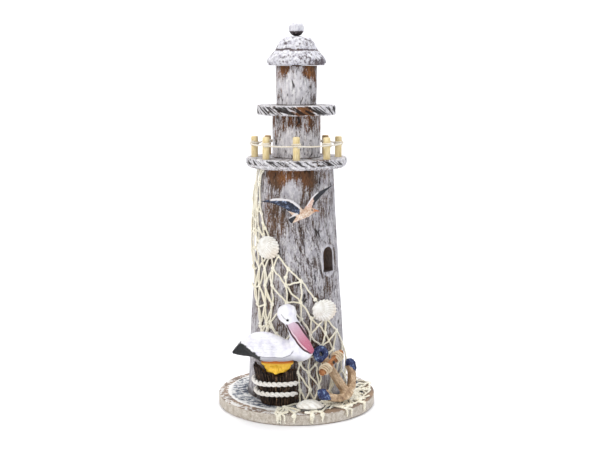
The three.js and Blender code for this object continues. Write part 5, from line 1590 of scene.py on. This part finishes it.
def wing(top, low, thick):
    """A wing as a lofted blade between its leading and trailing edges."""
    n = 26
    a = smooth_path([(p[0], 0, p[1]) for p in top], 0.5)
    b = smooth_path([(p[0], 0, p[1]) for p in low], 0.5)
    ta = np.linspace(0, 1, n)
    A = np.stack([np.interp(ta, np.linspace(0, 1, len(a)), a[:, k]) for k in (0, 2)], 1)
    Bp = np.stack([np.interp(ta, np.linspace(0, 1, len(b)), b[:, k]) for k in (0, 2)], 1)
    rings = []
    for i in range(n):
        w = ta[i]
        k = thick * (1 - 0.55 * w)
        ring = []
        for u in np.linspace(0, 2 * PI, 20, endpoint=False):
            c = 0.5 - 0.5 * math.cos(u)
            p = A[i] * (1 - c) + Bp[i] * c
            bow = 1.2 * math.sin(PI * c) * (1 - w * 0.5)
            ring.append([p[0], GY + k / 2 * math.sin(u) * (1.2 - 0.6 * c) - bow * 0.3, p[1]])
        rings.append(ring)
    return loft(rings)


bag.add(*wing([(6.5, 174.5), (2.0, 179.6), (-3.0, 183.4), (-8.5, 184.9), (-17, 185.3), (-28.6, 182.9)], [(-3.4, 170.8), (-6.6, 174.0), (-9.4, 176.4), (-14.0, 178.6), (-20, 180.7), (-28.4, 182.3)], 2.6))
bag.add(*wing([(5.0, 175.0), (8.6, 179.8), (12.2, 185.6), (16.4, 189.7), (22.4, 192.7), (29.3, 196.0)], [(12.2, 173.4), (13.4, 177.0), (15.6, 181.2), (18.6, 184.8), (23.0, 189.6), (29.2, 195.4)], 2.6))
V, Q, T = prism([(3, 172.8), (-2.4, 171.2), (-6.4, 168.6), (-6.0, 166.4), (-4.4, 164.4), (-1, 165.4), (4.5, 168)], [0, GY, 0], [1, 0, 0], [0, 0, 1], [0, -1, 0], -1.3, 1.3)
bag.add(V, Q, T)
me, V = remeshed("seagull", bag, 0.32, 3, 0.45)
N = normals_of(me)
x, y, z = V.T
LEADL = [(4, 177.6), (-1.5, 182.4), (-7, 184.7), (-17, 185.2), (-28.6, 182.9)]
LEADR = [(8.6, 180.0), (12.2, 185.6), (16.4, 189.7), (22.4, 192.7), (29.3, 196.0)]
TRAILR = [(12.4, 174.6), (15.6, 181.4), (18.6, 184.9), (23.0, 189.6), (29.2, 195.4)]
dL, tL = poly_dist(x, z, LEADL)
dR, tR = poly_dist(x, z, LEADR)
dT, tT = poly_dist(x, z, TRAILR)
isL = ((x < 3.4) & (z > 172.6 + 0.45 * np.clip(-x, 0, 40) * 0.4) & (z > 173.5)) * 1.0
isL = np.clip(step(4.2, 2.0, x + 0.35 * (178 - z) * 0.2) * step(172.2, 174.4, z + 0.28 * (x + 2)), 0, 1)
isR = step(176.4, 178.6, z) * step(5.5, 7.5, x)
barbs = line(perlin(x / 5, y, (z - 0.4 * np.abs(x)) / 1.0, 701), 0.3) * np.maximum(isL, isR)
V = V + N * (-0.14 * barbs + 0.12 * fbm(x / 3, y / 3, z / 3, 2, 702))[:, None]
wl = isL * step(-25, -18, x) * step(2.1, 1.1, dL + 0.4 * perlin(x / 2, z / 2, y, 703))
navyL = isL * (1 - step(-25, -18, x) * step(2.1, 1.1, dL + 0.4 * perlin(x / 2, z / 2, y, 703)))
white = np.maximum(wl, isR * step(1.2, 0.7, dR) * step(21, 15, x))
dark = isR * np.maximum(step(1.6, 0.9, dT + 0.3 * perlin(x / 2, z / 2, y, 704)), step(12.5, 15.5, x + 0.8 * perlin(x / 2, z / 2, y, 705))) + step(-0.5, -2.2, x - 0.6 * (z - 168)) * step(171.6, 169.8, z)
white = np.maximum(white, step(1.0, 0.5, poly_dist(x, z, [(-6.4, 169.0), (0.5, 172.6)])[0]))
write_mesh(me, V, navy=navyL, white=white, dark=np.clip(dark, 0, 1), wingr=isR, beak=step(13.9, 14.8, x) * (z < 178),
           eye=step(0.75, 0.5, np.hypot(x - 12.9, z - 175.8)) * (y < GY - 1))


def gull_material():
    m = Mat("gull_paint", 0.5, 0.4)
    navy, white, dark, wr, beak, eye = (m.attr(k) for k in ("navy", "white", "dark", "wingr", "beak", "eye"))
    n = m.noise(m.scaled(1.0, 1.0, 1.0), 4, 0.65)
    big = m.noise(m.scaled(3.5, 3.5, 3.5), 3, 0.6)
    body = m.ramp(m.math("ADD", m.math("MULTIPLY", n, 0.5), m.math("MULTIPLY", big, 0.5)),
                  [(0.34, srgb(146, 108, 88)), (0.43, srgb(194, 158, 134)), (0.52, srgb(220, 196, 174)), (0.6, srgb(238, 230, 222))])
    inner = m.ramp(n, [(0.34, srgb(184, 144, 126)), (0.5, srgb(216, 182, 166)), (0.64, srgb(230, 214, 208))])
    col = m.mix(wr, body, inner)
    blue = m.ramp(m.math("ADD", m.math("MULTIPLY", n, 0.5), m.math("MULTIPLY", big, 0.5)), [(0.4, srgb(20, 22, 30)), (0.5, srgb(40, 44, 60)), (0.57, srgb(84, 98, 128)), (0.64, srgb(176, 192, 216))])
    col = m.mix(m.ramp(navy, [(0.35, 0.0), (0.65, 1.0)]), col, blue)
    col = m.mix(m.ramp(dark, [(0.35, 0.0), (0.65, 1.0)]), col, m.ramp(n, [(0.35, srgb(20, 20, 24)), (0.7, srgb(52, 54, 62))]))
    col = m.mix(m.ramp(white, [(0.35, 0.0), (0.65, 0.92)]), col, srgb(226, 224, 228))
    col = m.mix(beak, col, srgb(196, 128, 84))
    col = m.mix(eye, col, srgb(16, 14, 16))
    m.bump(m.math("ADD", n, big), 0.35, 0.15)
    return m.done(col)


piece("seagull", me, gull_material(), ["seagull"])


# ---------------------------------------------------------------- hidden wood and metal
def raw_wood(name):
    m = Mat(name, 0.6, 0.3)
    g = m.noise(m.scaled(0.5, 0.5, 9), 3, 0.5, 0.3)
    col = m.ramp(g, [(0.3, srgb(198, 160, 112)), (0.55, srgb(216, 182, 136)), (0.75, srgb(228, 198, 154))])
    m.bump(g, 0.3, 0.1)
    return m.done(col, m.ramp(g, [(0.3, 0.5), (0.7, 0.65)]))


def steel(name):
    m = Mat(name, 0.35, 0.5)
    m.b.inputs["Metallic"].default_value = 1.0
    n = m.noise(m.scaled(2, 2, 0.5), 3, 0.6)
    return m.done(m.ramp(n, [(0.3, srgb(150, 148, 144)), (0.7, srgb(184, 182, 178))]), m.ramp(n, [(0.3, 0.28), (0.7, 0.45)]))


MAT_RAW, MAT_STEEL = raw_wood("dowel_wood"), steel("screw_steel")
for node in ("gallery_dowel", "lantern_dowel", "dome_dowel", "finial_dowel"):
    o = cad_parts[node]
    o.data.materials.clear()
    o.data.materials.append(MAT_RAW)
for node in ("base_screw_left", "base_screw_right"):
    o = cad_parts[node]
    o.data.materials.clear()
    o.data.materials.append(MAT_STEEL)

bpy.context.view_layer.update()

# ---------------------------------------------------------------- floor, light, camera
scene = bpy.context.scene
me = bpy.data.meshes.new("floor")
sweep = [(-2.2, 0.0), (1.3, 0.0)] + [(1.3 + 0.7 * math.sin(t), 0.7 - 0.7 * math.cos(t)) for t in np.linspace(0, PI / 2, 24)[1:]] + [(2.0, 2.6)]
xs_ = (-2.6, 2.6)
me.from_pydata([(x, y, z) for y, z in sweep for x in xs_], [], [[2 * i, 2 * i + 1, 2 * i + 3, 2 * i + 2] for i in range(len(sweep) - 1)])
me.polygons.foreach_set("use_smooth", [True] * len(me.polygons))
floor = bpy.data.objects.new("floor", me)
scene.collection.objects.link(floor)
fm = Mat("floor_white", 0.55, 0.25)
fn = fm.noise(fm.scaled(400, 400, 400), 2, 0.5)
me.materials.append(fm.done(fm.ramp(fn, [(0.3, srgb(244, 244, 246)), (0.7, srgb(248, 248, 250))])))

world = bpy.data.worlds.new("soft_studio")
scene.world = world
world.use_nodes = True
wt = world.node_tree
wt.nodes.clear()
wo = wt.nodes.new("ShaderNodeOutputWorld")
wb = wt.nodes.new("ShaderNodeBackground")
wb.inputs["Color"].default_value = (0.96, 0.975, 1.0, 1)
wb.inputs["Strength"].default_value = 0.55
wt.links.new(wb.outputs["Background"], wo.inputs["Surface"])


def area_light(name, where, target, size, power, color):
    l = bpy.data.lights.new(name, "AREA")
    l.shape = "DISK"
    l.size = size
    l.energy = power
    l.color = color
    o = bpy.data.objects.new(name, l)
    o.location = where
    o.rotation_euler = (Vector(target) - Vector(where)).to_track_quat("-Z", "Y").to_euler()
    scene.collection.objects.link(o)
    return o


area_light("key", (-0.7, -0.8, 0.95), (0, 0, 0.15), 0.5, 7.5, (1.0, 0.98, 0.95))
area_light("fill", (0.95, -0.65, 0.5), (0, 0, 0.14), 0.8, 2.6, (0.93, 0.96, 1.0))
area_light("top", (0.1, 0.1, 1.2), (0, 0, 0.1), 0.6, 4.5, (1, 1, 1))
area_light("backdrop_light", (0, 0.75, 1.9), (0, 1.9, 0.3), 1.6, 26, (1, 1, 1))

cam = bpy.data.cameras.new("camera")
cam.lens = 62.4
cam.sensor_width = 36
camera = bpy.data.objects.new("camera", cam)
camera.location = (0.003, -0.890, 0.2917)
camera.rotation_euler = (math.radians(90 - 8.6), 0, 0)
scene.collection.objects.link(camera)
scene.camera = camera
scene.view_settings.view_transform = "Standard"
